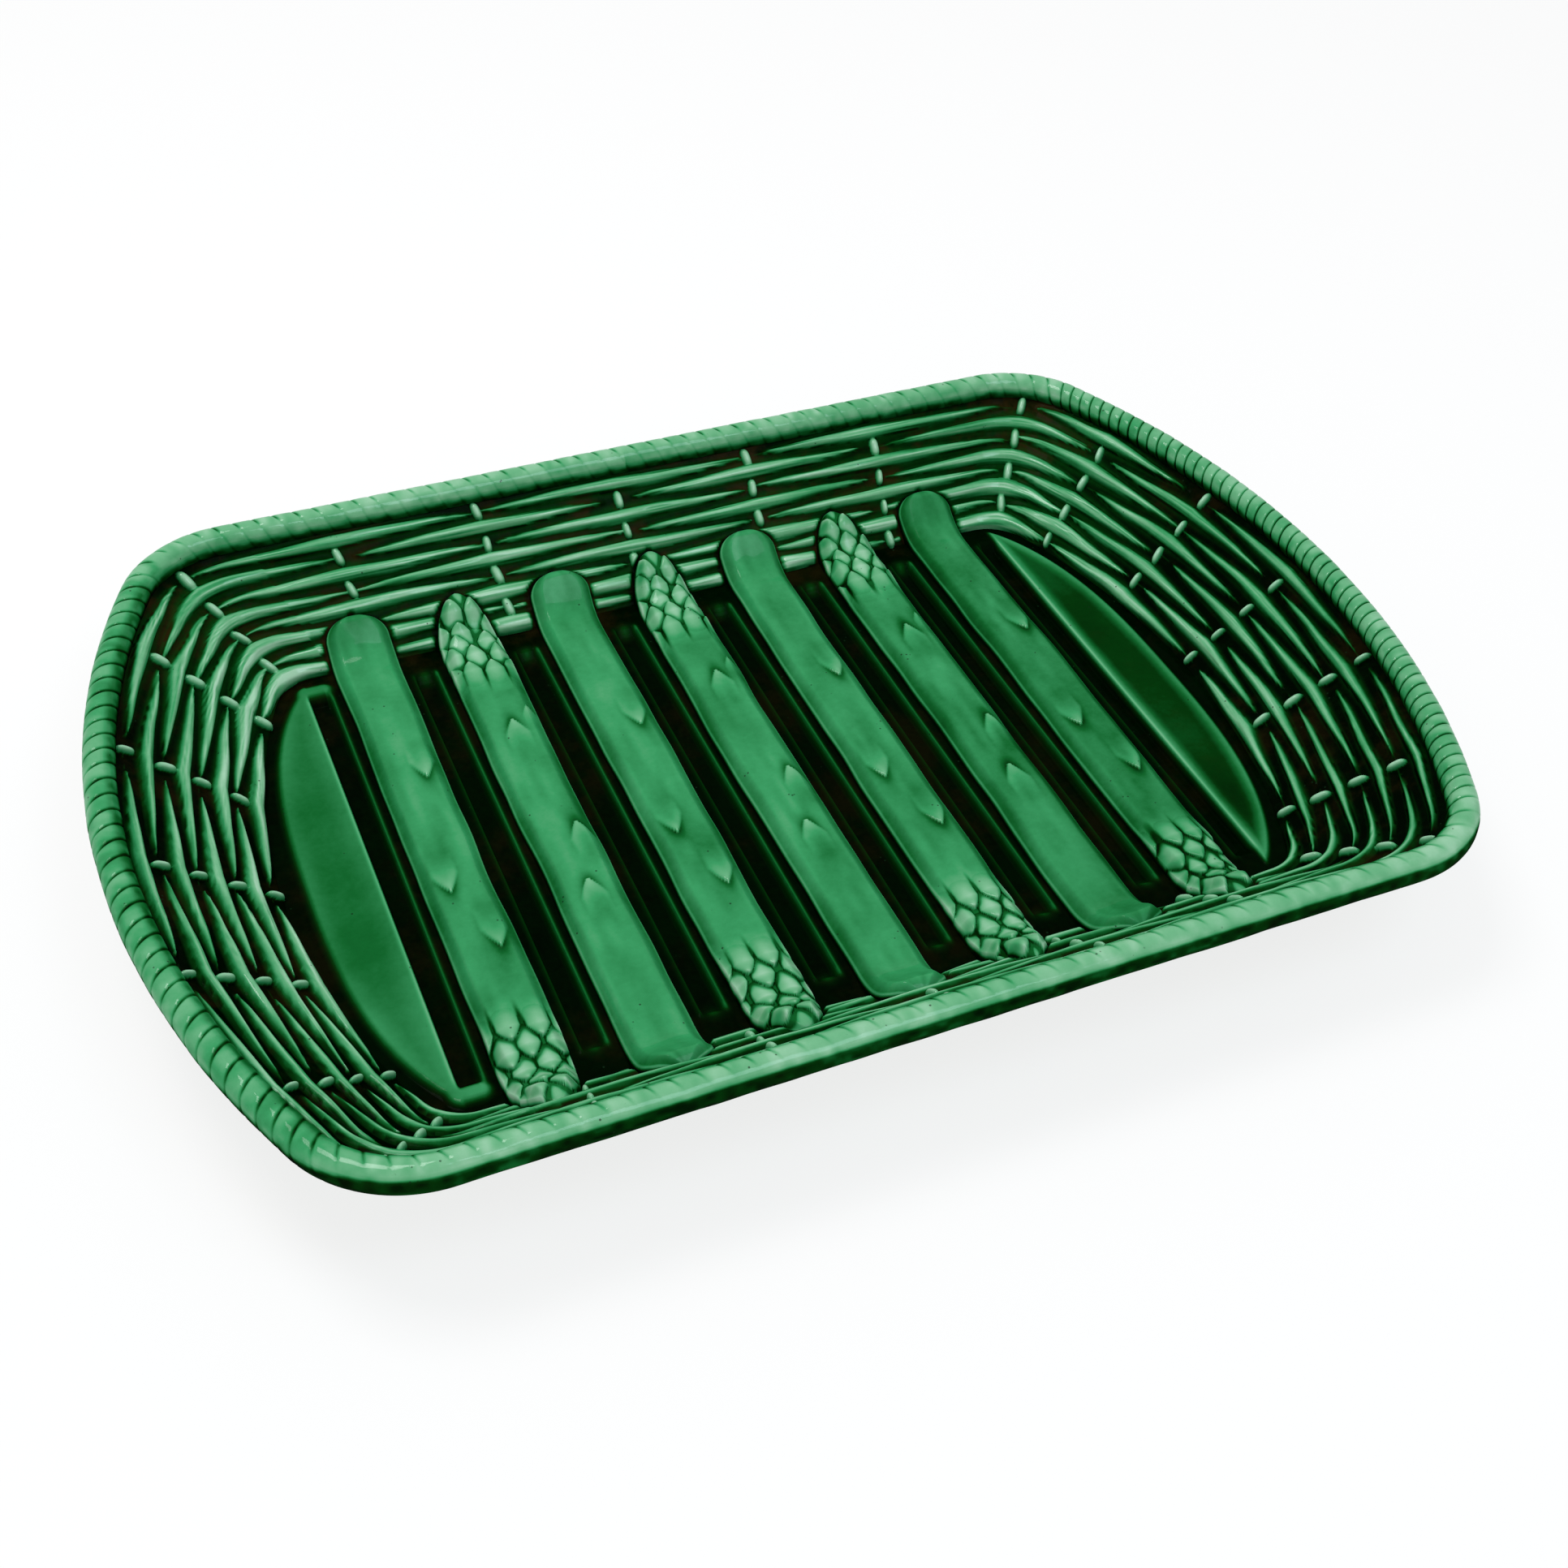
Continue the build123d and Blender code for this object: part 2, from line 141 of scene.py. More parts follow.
def waves(value, longest, count=5):
    """Sum of sines of falling wavelength over a run of values, scaled to about -1 to 1."""
    total = np.zeros_like(value, dtype=float)
    for step in range(count):
        phase = rng.uniform(0, 2 * np.pi)
        total += np.sin(2 * np.pi * value * (step + 1) ** 1.3 / longest + phase) / (step + 1)
    return total / 1.6


lattice = rng.uniform(-1, 1, (CELLS, CELLS))


def patches(u, v):
    """Smooth noise from -1 to 1: drawn values on a lattice, blended over each cell with S-curves."""
    u, v = np.broadcast_arrays(u, v)
    cell_u, cell_v = np.floor(u).astype(int), np.floor(v).astype(int)
    share_u, share_v = smooth_step(0, 1, u - cell_u), smooth_step(0, 1, v - cell_v)

    def along_u(row):
        """Blend of the two values beside each point in one row of the lattice."""
        first = lattice[cell_u % CELLS, row % CELLS]
        second = lattice[(cell_u + 1) % CELLS, row % CELLS]
        return first * (1 - share_u) + second * share_u

    return along_u(cell_v) * (1 - share_v) + along_u(cell_v + 1) * share_v


print("lattice of", lattice.size, "drawn values")

# %% [markdown]
# The tray's level lines have straight long sides, arched ends and round corners. A point is found by its
# run, measured clockwise from the middle of the far side, so that the rope, the weave and the underside
# can all be carried along the same line. Each line is given by its reach in x, its reach in y and its
# corner radius, in millimetres.

# %% Level lines of the tray
RIM_REACH = (185.4, 127.4, 31.7)
WALL_TOP = (182.9, 124.9, 29.2)
WALL_FOOT = (145.5, 91.3, 14.0)
FLOOR_Z, LIP_Z, ROPE_Z, FOOT_Z = 8.2, 37.8, 40.4, 2.0
END_CENTRE = -68.4
WALL_HEIGHT = LIP_Z - FLOOR_Z


def tray_quarter(reach_x, reach_y, corner):
    """End radius, corner centre, end angle, corner run and quarter run of a level line.

    The corner's circle touches the long side and, from inside, the end arc, which gives its centre.
    """
    end_radius = reach_x - END_CENTRE
    inner = end_radius - corner
    corner_y = reach_y - corner
    corner_x = END_CENTRE + np.sqrt(inner**2 - corner_y**2)
    end_angle = np.arcsin(corner_y / inner)
    bend = corner * (np.pi / 2 - end_angle)
    return end_radius, corner_x, corner_y, end_angle, bend, corner_x + bend + end_radius * end_angle


def tray_point(reach_x, reach_y, corner, run):
    """x, y and the inward normal at a run: a line, then a corner arc, then an end arc, mirrored round."""
    end_radius, corner_x, corner_y, end_angle, bend, quarter = tray_quarter(reach_x, reach_y, corner)
    lap = np.floor(run / quarter)
    rest = run - lap * quarter
    lap = lap % 4
    run = np.where(lap % 2 == 1, quarter - rest, rest)
    turn = np.clip((run - corner_x) / corner, 0, np.pi / 2 - end_angle)
    angle = np.minimum(end_angle - (run - corner_x - bend) / end_radius, end_angle)
    on_side, on_end = run < corner_x, run > corner_x + bend
    x = np.where(on_end, END_CENTRE + end_radius * np.cos(angle), corner_x + corner * np.sin(turn))
    y = np.where(on_end, end_radius * np.sin(angle), corner_y + corner * np.cos(turn))
    x = np.where(on_side, run, x)
    y = np.where(on_side, reach_y, y)
    heading = np.where(on_end, np.pi / 2 - angle, np.where(on_side, 0, turn))
    sign_x, sign_y = np.where(lap < 2, 1, -1), np.where((lap == 0) | (lap == 3), 1, -1)
    return x * sign_x, y * sign_y, -np.sin(heading) * sign_x, -np.cos(heading) * sign_y


rim_run = 4 * tray_quarter(*RIM_REACH)[-1]
print("rope line runs", round(rim_run, 1), "mm")

# %% [markdown]
# The rope rim is a roll with a two-strand lay pressed into it. A twisted sweep would do, but a radius
# that depends on the run and on the angle round the roll gives the rounded crests and the narrow grooves
# in one formula. The lay is closer on the right end. It fades on the outer side of the roll, on the inner
# side too along the far and left sides of the tray, and it is shallower along the near side.

# %% Lay of the rope
EVEN_TURNS, EXTRA_TURNS, DENSE_HALF = 182, 16, 118.0
ROPE_TURNS = EVEN_TURNS + EXTRA_TURNS
POINTS_PER_TURN, ROPE_COLUMNS = 14, 36
GROOVE_WIDTH = 0.075
dense_run = rim_run / 4 + np.array([-DENSE_HALF, DENSE_HALF])
even_marks = EVEN_TURNS * dense_run / rim_run
turn_marks = [0, even_marks[0], even_marks[1] + ROPE_TURNS - EVEN_TURNS, ROPE_TURNS]
turn = np.linspace(0, ROPE_TURNS, ROPE_TURNS * POINTS_PER_TURN, endpoint=False)[:, None]
rope_run = np.interp(turn, turn_marks, [0, *dense_run, rim_run])
rope_angle = np.linspace(0, 2 * np.pi, ROPE_COLUMNS, endpoint=False)[None, :]
lay = turn - rope_angle / np.pi + 0.07 * waves(rope_run, rim_run / 9)
from_groove = np.abs(lay - np.round(lay))
outward = np.cos(rope_angle)
rope_x, rope_y, rope_in_x, rope_in_y = tray_point(*RIM_REACH, rope_run)
at_near, at_far = smooth_step(0.3, 0.9, rope_in_y), smooth_step(0.3, 0.9, -rope_in_y)
at_left, at_right = smooth_step(0.3, 0.9, rope_in_x), smooth_step(0.3, 0.9, -rope_in_x)
lay_fade = smooth_step(0.95 - 0.45 * at_near, 0.15 - 0.45 * at_near, outward)
lay_fade = lay_fade * (1 - 0.9 * (at_far + 0.6 * at_left) * smooth_step(0.0, -0.45, outward))
lay_fade = lay_fade * (0.8 + 0.2 * patches(lay * 0.5, rope_angle))
lay_plain = 0.30 - 0.22 * at_far - 0.28 * at_near
lay_shown = 0.70 + 0.22 * at_far - 0.12 * at_near
groove = np.exp(-((from_groove / GROOVE_WIDTH) ** 2)) * (lay_plain + lay_shown * lay_fade)
print("turns of the lay:", ROPE_TURNS)

# %% [markdown]
# The roll's radius falls by the depth of the grooves, and its underside is cut flat where it seats on the
# lip. The grooves are darker, as thick glaze and painted shade. The inner side of the roll is darkened
# as painted shade, and its underside as painted shade and thick glaze, most of all along the near side;
# the tone also differs from side to side.

# %% Rope rim
ROPE_RADIUS, LAY_DEPTH, CREST_SWELL, ROPE_SEAT = 4.6, 0.50, 0.10, 1.2
swell = CREST_SWELL * (1 - 4 * from_groove**2) * lay_fade
rope_reach = ROPE_RADIUS - LAY_DEPTH * groove - CREST_SWELL + CREST_SWELL * lay_fade - swell
rope_reach = rope_reach + 0.10 * patches(rope_run / 9, 2 + 3 * np.sin(rope_angle)) - 0.10
rope_out = rope_reach * np.cos(rope_angle)
rope_z = np.maximum(ROPE_Z + rope_reach * np.sin(rope_angle), LIP_Z - ROPE_SEAT)
rope_points = np.stack([rope_x - rope_in_x * rope_out, rope_y - rope_in_y * rope_out, rope_z], axis=-1)
side_tone = 0.30 - 0.10 * at_near - 0.10 * at_far + 0.07 * at_left - 0.04 * at_right
# Painted shade: the inner side of the roll is darker, less so along the far side and the right end, and the
# underside is darker still, most of all along the near side.
inner_side_shade = smooth_step(-0.20, -0.80, outward) * (0.22 - 0.16 * at_far - 0.14 * at_right)
underside_shade = smooth_step(0.35 + 0.36 * at_near, -0.30 + 0.75 * at_near, np.sin(rope_angle))
rope_glaze_and_shading = side_tone + inner_side_shade + 0.55 * groove + underside_shade * (0.46 + 0.15 * at_near)
rope_glaze_and_shading = rope_glaze_and_shading + 0.10 * patches(rope_run / 2.5, 3 * np.sin(rope_angle)) + 0.05 * waves(rope_run, 90)
rope_glaze_and_shading = np.clip(rope_glaze_and_shading, 0.03, 1)
rope_rim = grid_piece("twisted_rim", rope_points, rope_glaze_and_shading, True, "glazed_rope", ["rope_rim"], 180)

# %% [markdown]
# The wall carries a basket weave: upright stakes, and eight courses of strands that pass over every
# second stake. Measured from stake to stake and from course to course the weave is regular, so each
# strand is a spindle in those coordinates, and each stake shows as a short peg between two strands.

# %% Weave coordinates
COURSES, STAKES, TOP_MARGIN = 8, 24, 0.03
COURSE_STEP = (1 - TOP_MARGIN) / COURSES
FAR_SHIFT, NEAR_SHIFT = -5.0, -1.0
SIDE_PITCH, SIDE_PITCH_LOSS = 47.2, 2.7
END_PITCH, END_PITCH_LOSS = 10.4, 0.6


def wall_level(depth):
    """Level line of the wall's inner face, the runs of its stakes and its length, for an array of depths.

    The stakes stand a pitch apart, in millimetres on the long sides and in degrees on the arched ends,
    with one more at the middle of each corner. Both pitches shrink with the depth, which is 0 at the lip
    and 1 at the floor.
    """
    depth = np.asarray(depth, float)
    reach = [top + (foot - top) * depth for top, foot in zip(WALL_TOP, WALL_FOOT)]
    end_radius, corner_x, _, _, bend, quarter = tray_quarter(*reach)
    pitch = SIDE_PITCH - SIDE_PITCH_LOSS * depth
    end_step = np.radians(END_PITCH - END_PITCH_LOSS * depth) * end_radius
    runs = []
    for side, shift in enumerate((FAR_SHIFT, -NEAR_SHIFT)):
        start = 2 * quarter * side
        runs += [start + shift + step * pitch for step in (-2, -1, 0, 1, 2)]
        runs += [start + corner_x + bend / 2]
        runs += [start + quarter + step * end_step for step in (-2, -1, 0, 1, 2)]
        runs += [start + 2 * quarter - corner_x - bend / 2]
    return reach, np.stack(runs), 4 * quarter


def weave_run(stake, depth):
    """Run at a stake coordinate: straight interpolation between the runs of the two stakes beside it."""
    _, runs, around = wall_level(depth)
    whole = np.floor(stake).astype(int)
    share = stake - whole
    rows = np.arange(len(depth))[:, None]
    first = runs.T[rows, whole % STAKES] + (whole // STAKES) * around[:, None]
    second = runs.T[rows, (whole + 1) % STAKES] + ((whole + 1) // STAKES) * around[:, None]
    return first + (second - first) * share


print("courses:", COURSES, "stakes:", STAKES)

# %% [markdown]
# The spears lie across the floor and climb the long walls, so the weave stops short of them. Their path
# is needed here already: flat, then an arc of 20 mm radius, then straight up the slope.

# %% Path of a spear
SPEAR_PITCH, SPEAR_HALF = 33.1, 10.0
BUTT_LENGTH, TIP_LENGTH = 8.0, 38.0
BEND_RADIUS, SPEAR_CLIMB = 20.0, 9.0
SIDE_RUN, END_RUN = WALL_TOP[1] - WALL_FOOT[1], WALL_TOP[0] - WALL_FOOT[0]
SIDE_SLOPE = np.arctan2(WALL_HEIGHT, SIDE_RUN)
spear_flat = WALL_FOOT[1] - BEND_RADIUS * np.tan(SIDE_SLOPE / 2)
spear_bend = BEND_RADIUS * SIDE_SLOPE
spear_reach = spear_flat + spear_bend + SPEAR_CLIMB
spear_middles = (np.arange(7) - 3) * SPEAR_PITCH


def spear_path(run):
    """Distance from the middle, height and slope of a spear's path at a run from the middle."""
    past = np.abs(run) - spear_flat
    turn = np.clip(past / BEND_RADIUS, 0, SIDE_SLOPE)
    climb = np.maximum(past - spear_bend, 0)
    out = np.minimum(np.abs(run), spear_flat) + BEND_RADIUS * np.sin(turn) + climb * np.cos(turn)
    z = FLOOR_Z + BEND_RADIUS * (1 - np.cos(turn)) + climb * np.sin(turn)
    return out * np.sign(run), z, turn * np.sign(run)


def spear_width(run):
    """Share of the full half width: a quarter circle at the butt, the negative end, and a bud at the other.

    The bud narrows with the fourth power of the way along it, and its point is rounded by a root.
    """
    from_butt = np.clip((run + spear_reach) / BUTT_LENGTH, 0, 1)
    to_tip = np.clip((spear_reach - run) / TIP_LENGTH, 0, 1)
    return np.sqrt(from_butt * (2 - from_butt)) * (1 - (1 - to_tip) ** 4) ** 0.6


def spear_clearance(x, y, depth):
    """Distance in millimetres from a point of a long wall to the nearest spear, to its side and its end."""
    slope_run = (1 - depth) * np.hypot(WALL_HEIGHT, SIDE_RUN)
    run = spear_flat + spear_bend + slope_run - BEND_RADIUS * np.tan(SIDE_SLOPE / 2)
    nearest = np.clip(np.round(x / SPEAR_PITCH), -3, 3)
    tip_here = (nearest % 2 == 1) == (y < 0)
    half = SPEAR_HALF * np.where(tip_here, spear_width(run), spear_width(-run))
    beyond = np.maximum(run - spear_reach, 0)
    return np.hypot(np.maximum(np.abs(x - nearest * SPEAR_PITCH) - half, 0), beyond)


print("spears reach", round(spear_reach, 1), "mm along their path from the middle")

# %% [markdown]
# Strands are highest over their stake and thin out to a point before the next stake of their course, and
# the pegs fill the gaps between them. The weave differs from side to side of the tray: fuller strands on
# the far side, thinner ones on the near side, and strands that swing between the stakes on the two ends.

# %% Sides of the wall
FAR_MIDDLE, RIGHT_MIDDLE, NEAR_MIDDLE = 2, 8, 14


def stakes_from(stake, middle, repeat):
    """Distance round the tray, in stakes, from a middle stake that comes again after repeat stakes."""
    return np.abs(np.mod(stake + (repeat // 2 - middle), repeat) - repeat // 2)


def wall_sides(stake):
    """Shares from 0 to 1 of the far side, the right end, the near side and either end, at a stake."""
    far = smooth_step(5.5, 3.5, stakes_from(stake, FAR_MIDDLE, STAKES))
    right = smooth_step(4.0, 2.5, stakes_from(stake, RIGHT_MIDDLE, STAKES))
    near = smooth_step(5.5, 3.5, stakes_from(stake, NEAR_MIDDLE, STAKES))
    ends = smooth_step(4.0, 2.5, stakes_from(stake, RIGHT_MIDDLE, STAKES // 2))
    return far, right, near, ends


print("sides at stake 8:", [float(share) for share in wall_sides(np.array(8.0))])

# %% [markdown]
# One course of strands is worked out at a time, over the whole wall at once. Each strand has its own drawn
# departures from the rule: in its length, its place, its slant and its height.

# %% Strands
STRAND_REACH, STRAND_RISE, PEG_RISE = 0.90, 3.0, 2.3
strand_even = rng.normal(0, 1, (COURSES, STAKES, 4))
peg_even = rng.normal(0, 1, (COURSES, STAKES, 3))


def strands(stake, course, here, sides):
    """Height of the strands of a course, their tone of glaze and painted light, and the tone beside them.

    A strand's height falls with the square of the distance from its stake and with a rounded arch
    across it. Its crest is pale, as thin glaze and painted highlight, and streaked along it, its flanks and
    ends darken as painted shade, and a soft band of painted shade and thick glaze lies beside it.
    The course tried at each point is here, and sides are the shares from wall_sides.
    """
    far, right, near, ends = sides
    known = np.clip(here, 0, COURSES - 1)
    nearest = known % 2 + 2 * np.round((stake - known % 2) / 2)
    even = strand_even[known, nearest.astype(int) % STAKES]
    reach = (STRAND_REACH + 0.05 * far) * (1 + 0.04 * even[..., 0])
    along = np.clip(np.abs(stake - nearest) / reach, 0, 1)
    between = stake - np.floor(stake)
    swing = ends * (1 - 0.5 * right) * (0.6 * between * (1 - between) - 0.05)
    bow = 0.03 * even[..., 1] + 0.05 * (stake - nearest) * even[..., 2]
    bow = bow + 0.06 * patches(stake * 3.1 + 17 * known, known * 5.3) + swing
    blunt = np.where(known == COURSES - 1, 0.04, 0) + 0.07 * far * (known >= COURSES - 3)
    half = 0.37 + 0.09 * far + 0.03 * right - 0.09 * near + blunt
    half = half * (1 - 0.66 * along) * np.sqrt(1 - along**9) + 0.01
    across = (course - here - 0.5 - bow) / half
    inside = (along < 1) & (np.abs(across) < 1) & (here == known)
    arch = np.clip(1 - np.abs(across) ** 2.2, 0, 1)
    rise = STRAND_RISE * (1 - 0.30 * near) * (1 + 0.06 * even[..., 3]) * (1 - 0.72 * along**2)
    facet = 0.10 * patches(stake * 4 + 31 * known, across * 2.2 + 9 * known)
    height = np.where(inside, rise * (arch**0.6 + facet * arch), 0)
    streak = patches(stake * 2.6 + 13 * known, across * 5.5 + 7 * known)
    # Painted light: the crest is pale as thin glaze and painted highlight, and the flanks and the ends
    # darken as painted shade.
    strand_glaze_and_shading = 0.27 - 0.12 * near - 0.027 * known * (1 - near) - 0.02 * far + 0.07 * right
    strand_glaze_and_shading = strand_glaze_and_shading + 0.08 * along**2 + (0.14 + 0.14 * far) * streak
    from_crest = np.abs(across + 0.2 * near)
    strand_glaze_and_shading = strand_glaze_and_shading + (0.60 + 0.40 * near) * from_crest ** (2.0 - 0.9 * near) + 0.26 * along**6
    # Painted shade and thick glaze in the soft band beside each strand.
    gap_glaze_and_shade = 0.82 - 0.06 * far + 0.18 * smooth_step(0.9, 1.7 + 0.8 * far, np.abs(across))
    return height, strand_glaze_and_shading, gap_glaze_and_shade + 9.0 * (here != known)


print("strands laid out:", COURSES * STAKES // 2)

# %% [markdown]
# A peg is a short oval between two strands of its own course, on the stakes that the strands leave bare.
# At each point the strands and pegs of three courses are tried, and the highest of them is the surface.


# %% Pegs and the whole relief
def pegs(stake, course, here, run, peg_run, far):
    """Height of the pegs of a course, leaning ovals on every second stake, and their glaze and painted
    light.
    """
    known = np.clip(here, 0, COURSES - 1)
    nearest = (known + 1) % 2 + 2 * np.round((stake - (known + 1) % 2) / 2)
    even = peg_even[known, nearest.astype(int) % STAKES]
    lean = (course - here - 0.5) * (0.5 + 0.5 * even[..., 0])
    side = (run - peg_run(nearest) - lean) / (1.1 + 0.45 * far + 0.14 * even[..., 1])
    up = (course - here - 0.47 - 0.05 * even[..., 2]) / (0.54 + 0.06 * far + 0.04 * even[..., 1])
    oval = np.clip(1 - np.abs(side) ** 2.2 - np.abs(up) ** 3, 0, 1) * (here == known)
    # Painted highlight and thin glaze in the middle of a peg, painted shade towards its edge.
    return PEG_RISE * oval**0.5, 0.72 - 0.68 * oval**0.6


def weave_relief(stake, course, run, peg_run):
    """Height of the weave and its glaze and painted light: the highest strand or peg of this course and its
    neighbours.
    """
    best = np.zeros_like(run)
    pool = np.ones_like(run)
    row = np.clip(np.floor(course), 0, COURSES - 1).astype(int)
    sides = wall_sides(stake)
    for shift in (0, -1, 1):
        here = row + shift
        height, strand_glaze_and_shading, gap_glaze_and_shade = strands(stake, course, here, sides)
        pool = np.where(height > best, strand_glaze_and_shading, np.minimum(pool, gap_glaze_and_shade))
        best = np.maximum(best, height)
        height, strand_glaze_and_shading = pegs(stake, course, here, run, peg_run, sides[0])
        pool = np.where(height > best, strand_glaze_and_shading, pool)
        best = np.maximum(best, height)
    return best, pool


print("pegs laid out:", COURSES * STAKES // 2)

# %% [markdown]
# The front of the wall is the weave, the back the plain outside of the dish, and the two close into a
# ring. The columns of the grid crowd together at each stake, where the narrow pegs need them. The ring is
# made in an upper and a lower half, which keeps each mesh small enough to handle.

# %% Wall rings
WALL_ROWS, BACK_ROWS = 56, 5
LIP_OUT, FOOT_OUT = 3.0, 0.2
PEG_SHARE = 0.06
wall_nodes = ["stakes", *(f"weave_course_{course + 1}" for course in range(COURSES))]
column_runs = ((-0.5, -PEG_SHARE, 20), (-PEG_SHARE, PEG_SHARE, 25), (PEG_SHARE, 0.5, 20))
beside_stake = np.concatenate([np.linspace(*columns, endpoint=False) for columns in column_runs])
stake_columns = (np.arange(STAKES)[:, None] + beside_stake).ravel()[None, :]


def wall_front(depth, stakes):
    """Points and tone of the woven face, glaze with painted light: the wall's slope, raised by the relief
    along its normal.
    """
    reach = [value[:, None] for value in wall_level(depth)[0]]
    run = weave_run(stakes, depth)
    x, y, in_x, in_y = tray_point(*reach, run)
    course = (depth - TOP_MARGIN)[:, None] / COURSE_STEP + np.zeros_like(run)
    relief, pool = weave_relief(stakes, course, run, lambda at: weave_run(at, depth))
    on_long_side = np.abs(in_y) > 0.9
    clear = smooth_step(0.2, 2.0, np.where(on_long_side, spear_clearance(x, y, depth[:, None]), 9.0))
    relief, pool = relief * np.sqrt(clear), 1 - (1 - pool) * clear
    slope = np.arctan2(WALL_HEIGHT, in_y**2 * SIDE_RUN + in_x**2 * END_RUN)
    z = LIP_Z - WALL_HEIGHT * depth[:, None] + np.cos(slope) * relief
    points = [x + in_x * np.sin(slope) * relief, y + in_y * np.sin(slope) * relief, z]
    return np.stack(points, axis=-1), pool


def wall_back(depth, stakes):
    """Points and glaze of the plain outside, straight from lip to foot, with glaze runs down it."""
    lip = [value + LIP_OUT for value in RIM_REACH]
    foot = [value + FOOT_OUT for value in WALL_FOOT[:2]] + [WALL_FOOT[2]]
    outside = [top + (low - top) * depth for top, low in zip(lip, foot)]
    run = weave_run(stakes, depth[:, 0])
    run = run * tray_quarter(*outside)[-1] / (wall_level(depth[:, 0])[2][:, None] / 4)
    x, y, _, _ = tray_point(*outside, run)
    points = np.stack(np.broadcast_arrays(x, y, LIP_Z + (FOOT_Z - LIP_Z) * depth), axis=-1)
    pool = 0.57 + 0.09 * (1 - depth) + 0.08 * patches(3 * stakes, 4 * depth)
    return points, pool + 0.05 * patches(11 * stakes, depth)


def wall_ring(name, top_depth, foot_depth):
    """Closed ring of wall between two depths: weave rows downwards, then the outside back up."""
    stakes = stake_columns + np.zeros((WALL_ROWS, 1))
    front, front_glaze_and_shading = wall_front(np.linspace(top_depth, foot_depth, WALL_ROWS), stakes)
    back_depth = np.linspace(foot_depth, top_depth, BACK_ROWS)[:, None]
    back, back_pool = wall_back(back_depth, stakes[:BACK_ROWS])
    points = np.concatenate([front, back]).transpose(1, 0, 2)
    glaze_and_shading_grid = np.concatenate([front_glaze_and_shading, back_pool]).T
    return grid_piece(name, points, glaze_and_shading_grid, True, "glazed_weave", wall_nodes, 75)


MIDDLE_DEPTH = TOP_MARGIN + 4 * COURSE_STEP
walls = [wall_ring("weave_upper", 0.0, MIDDLE_DEPTH), wall_ring("weave_lower", MIDDLE_DEPTH, 1.0)]

# %% [markdown]
# The floor has a drain channel between each pair of spears, with a low bead along both edges, and a
# smooth dished panel at each end. Its grid runs across the plate in lines of constant x, crowded
# together about the channels and on the panels, so that their edges stay crisp.

# %% Floor grid
FLOOR_LAP, BESIDE_CHANNEL = 0.35, 6.5
END_LINES_FROM, END_LINES_TO = 122.5, 145.4
channel_middles = (np.arange(8) - 3.5) * SPEAR_PITCH
channel_lines = (channel_middles[:, None] + np.linspace(-BESIDE_CHANNEL, BESIDE_CHANNEL, 40)).ravel()
end_lines = np.linspace(END_LINES_FROM, END_LINES_TO, 46)
floor_x = np.concatenate([channel_lines, spear_middles, end_lines, -end_lines])
floor_x = np.unique(np.round(floor_x, 3))[:, None]
floor_share = np.linspace(-1, 1, 220)[None, :]
foot_radius, foot_corner_x, foot_corner_y, _, _, _ = tray_quarter(*WALL_FOOT)
end_x = np.abs(floor_x)
past_corner = np.maximum(end_x - foot_corner_x, 0)
corner_y = foot_corner_y + np.sqrt(np.maximum(WALL_FOOT[2] ** 2 - past_corner**2, 0))
arch_y = np.sqrt(np.maximum(foot_radius**2 - (end_x - END_CENTRE) ** 2, 0))
arc_meets_x = END_CENTRE + (foot_corner_x - END_CENTRE) * foot_radius / (foot_radius - WALL_FOOT[2])
floor_half = np.where(end_x < arc_meets_x, corner_y, arch_y)
floor_half = np.where(end_x < foot_corner_x, WALL_FOOT[1], floor_half)
floor_y = floor_share * (floor_half + FLOOR_LAP)
print("floor grid:", floor_y.shape)

# %% [markdown]
# Each channel is a flat trough with rounded edges. A pale line of painted highlight runs along the bead
# beside it, stronger on the right of the channel than on the left, and the channel's ends get a soft pale
# spot of painted highlight too.

# %% Channels
CHANNEL_HALF, CHANNEL_END, CHANNEL_DEPTH = 3.0, 80.0, 2.8
BEAD_OFFSET, BEAD_WIDTH, BEAD_RISE, END_HIGHLIGHT_WIDTH = 0.6, 0.80, 0.45, 2.2
PANEL_INNER, PANEL_OUTER, PANEL_HALF = 118.85, 140.0, 88.0
nearest_channel = SPEAR_PITCH * (np.round(floor_x / SPEAR_PITCH - 0.5) + 0.5)
off_channel = np.abs(floor_x - nearest_channel)
end_gap = np.abs(floor_y) - CHANNEL_END + 0.0 * floor_x
in_channel = smooth_step(0.5, -0.5, off_channel - CHANNEL_HALF) * smooth_step(2.0, -2.0, end_gap)
in_channel = in_channel * (end_x < PANEL_INNER + 1)
bead = np.exp(-(((off_channel - CHANNEL_HALF - BEAD_OFFSET) / BEAD_WIDTH) ** 2))
bead = bead * smooth_step(3.0, 0.0, end_gap) * (end_x < PANEL_INNER - 2)
# Painted highlight along the bead, stronger on the right of the channel than on the left.
bead_highlight_side = np.where(floor_x > nearest_channel, 1.0, 0.45)
# Painted highlight: a soft pale spot at each channel's sloping end.
channel_end_highlight = np.exp(-(((end_gap - 0.5) / END_HIGHLIGHT_WIDTH) ** 2) - (off_channel / END_HIGHLIGHT_WIDTH) ** 2)
channel_end_highlight = channel_end_highlight * (end_x < PANEL_INNER - 5)
print("channels:", len(channel_middles))

# %% [markdown]
# A panel is bounded by a straight inner edge and a bowed outer one. Distances from both edges round its
# border and dish its middle. The left panel also wraps a short way round both ends of its channel.

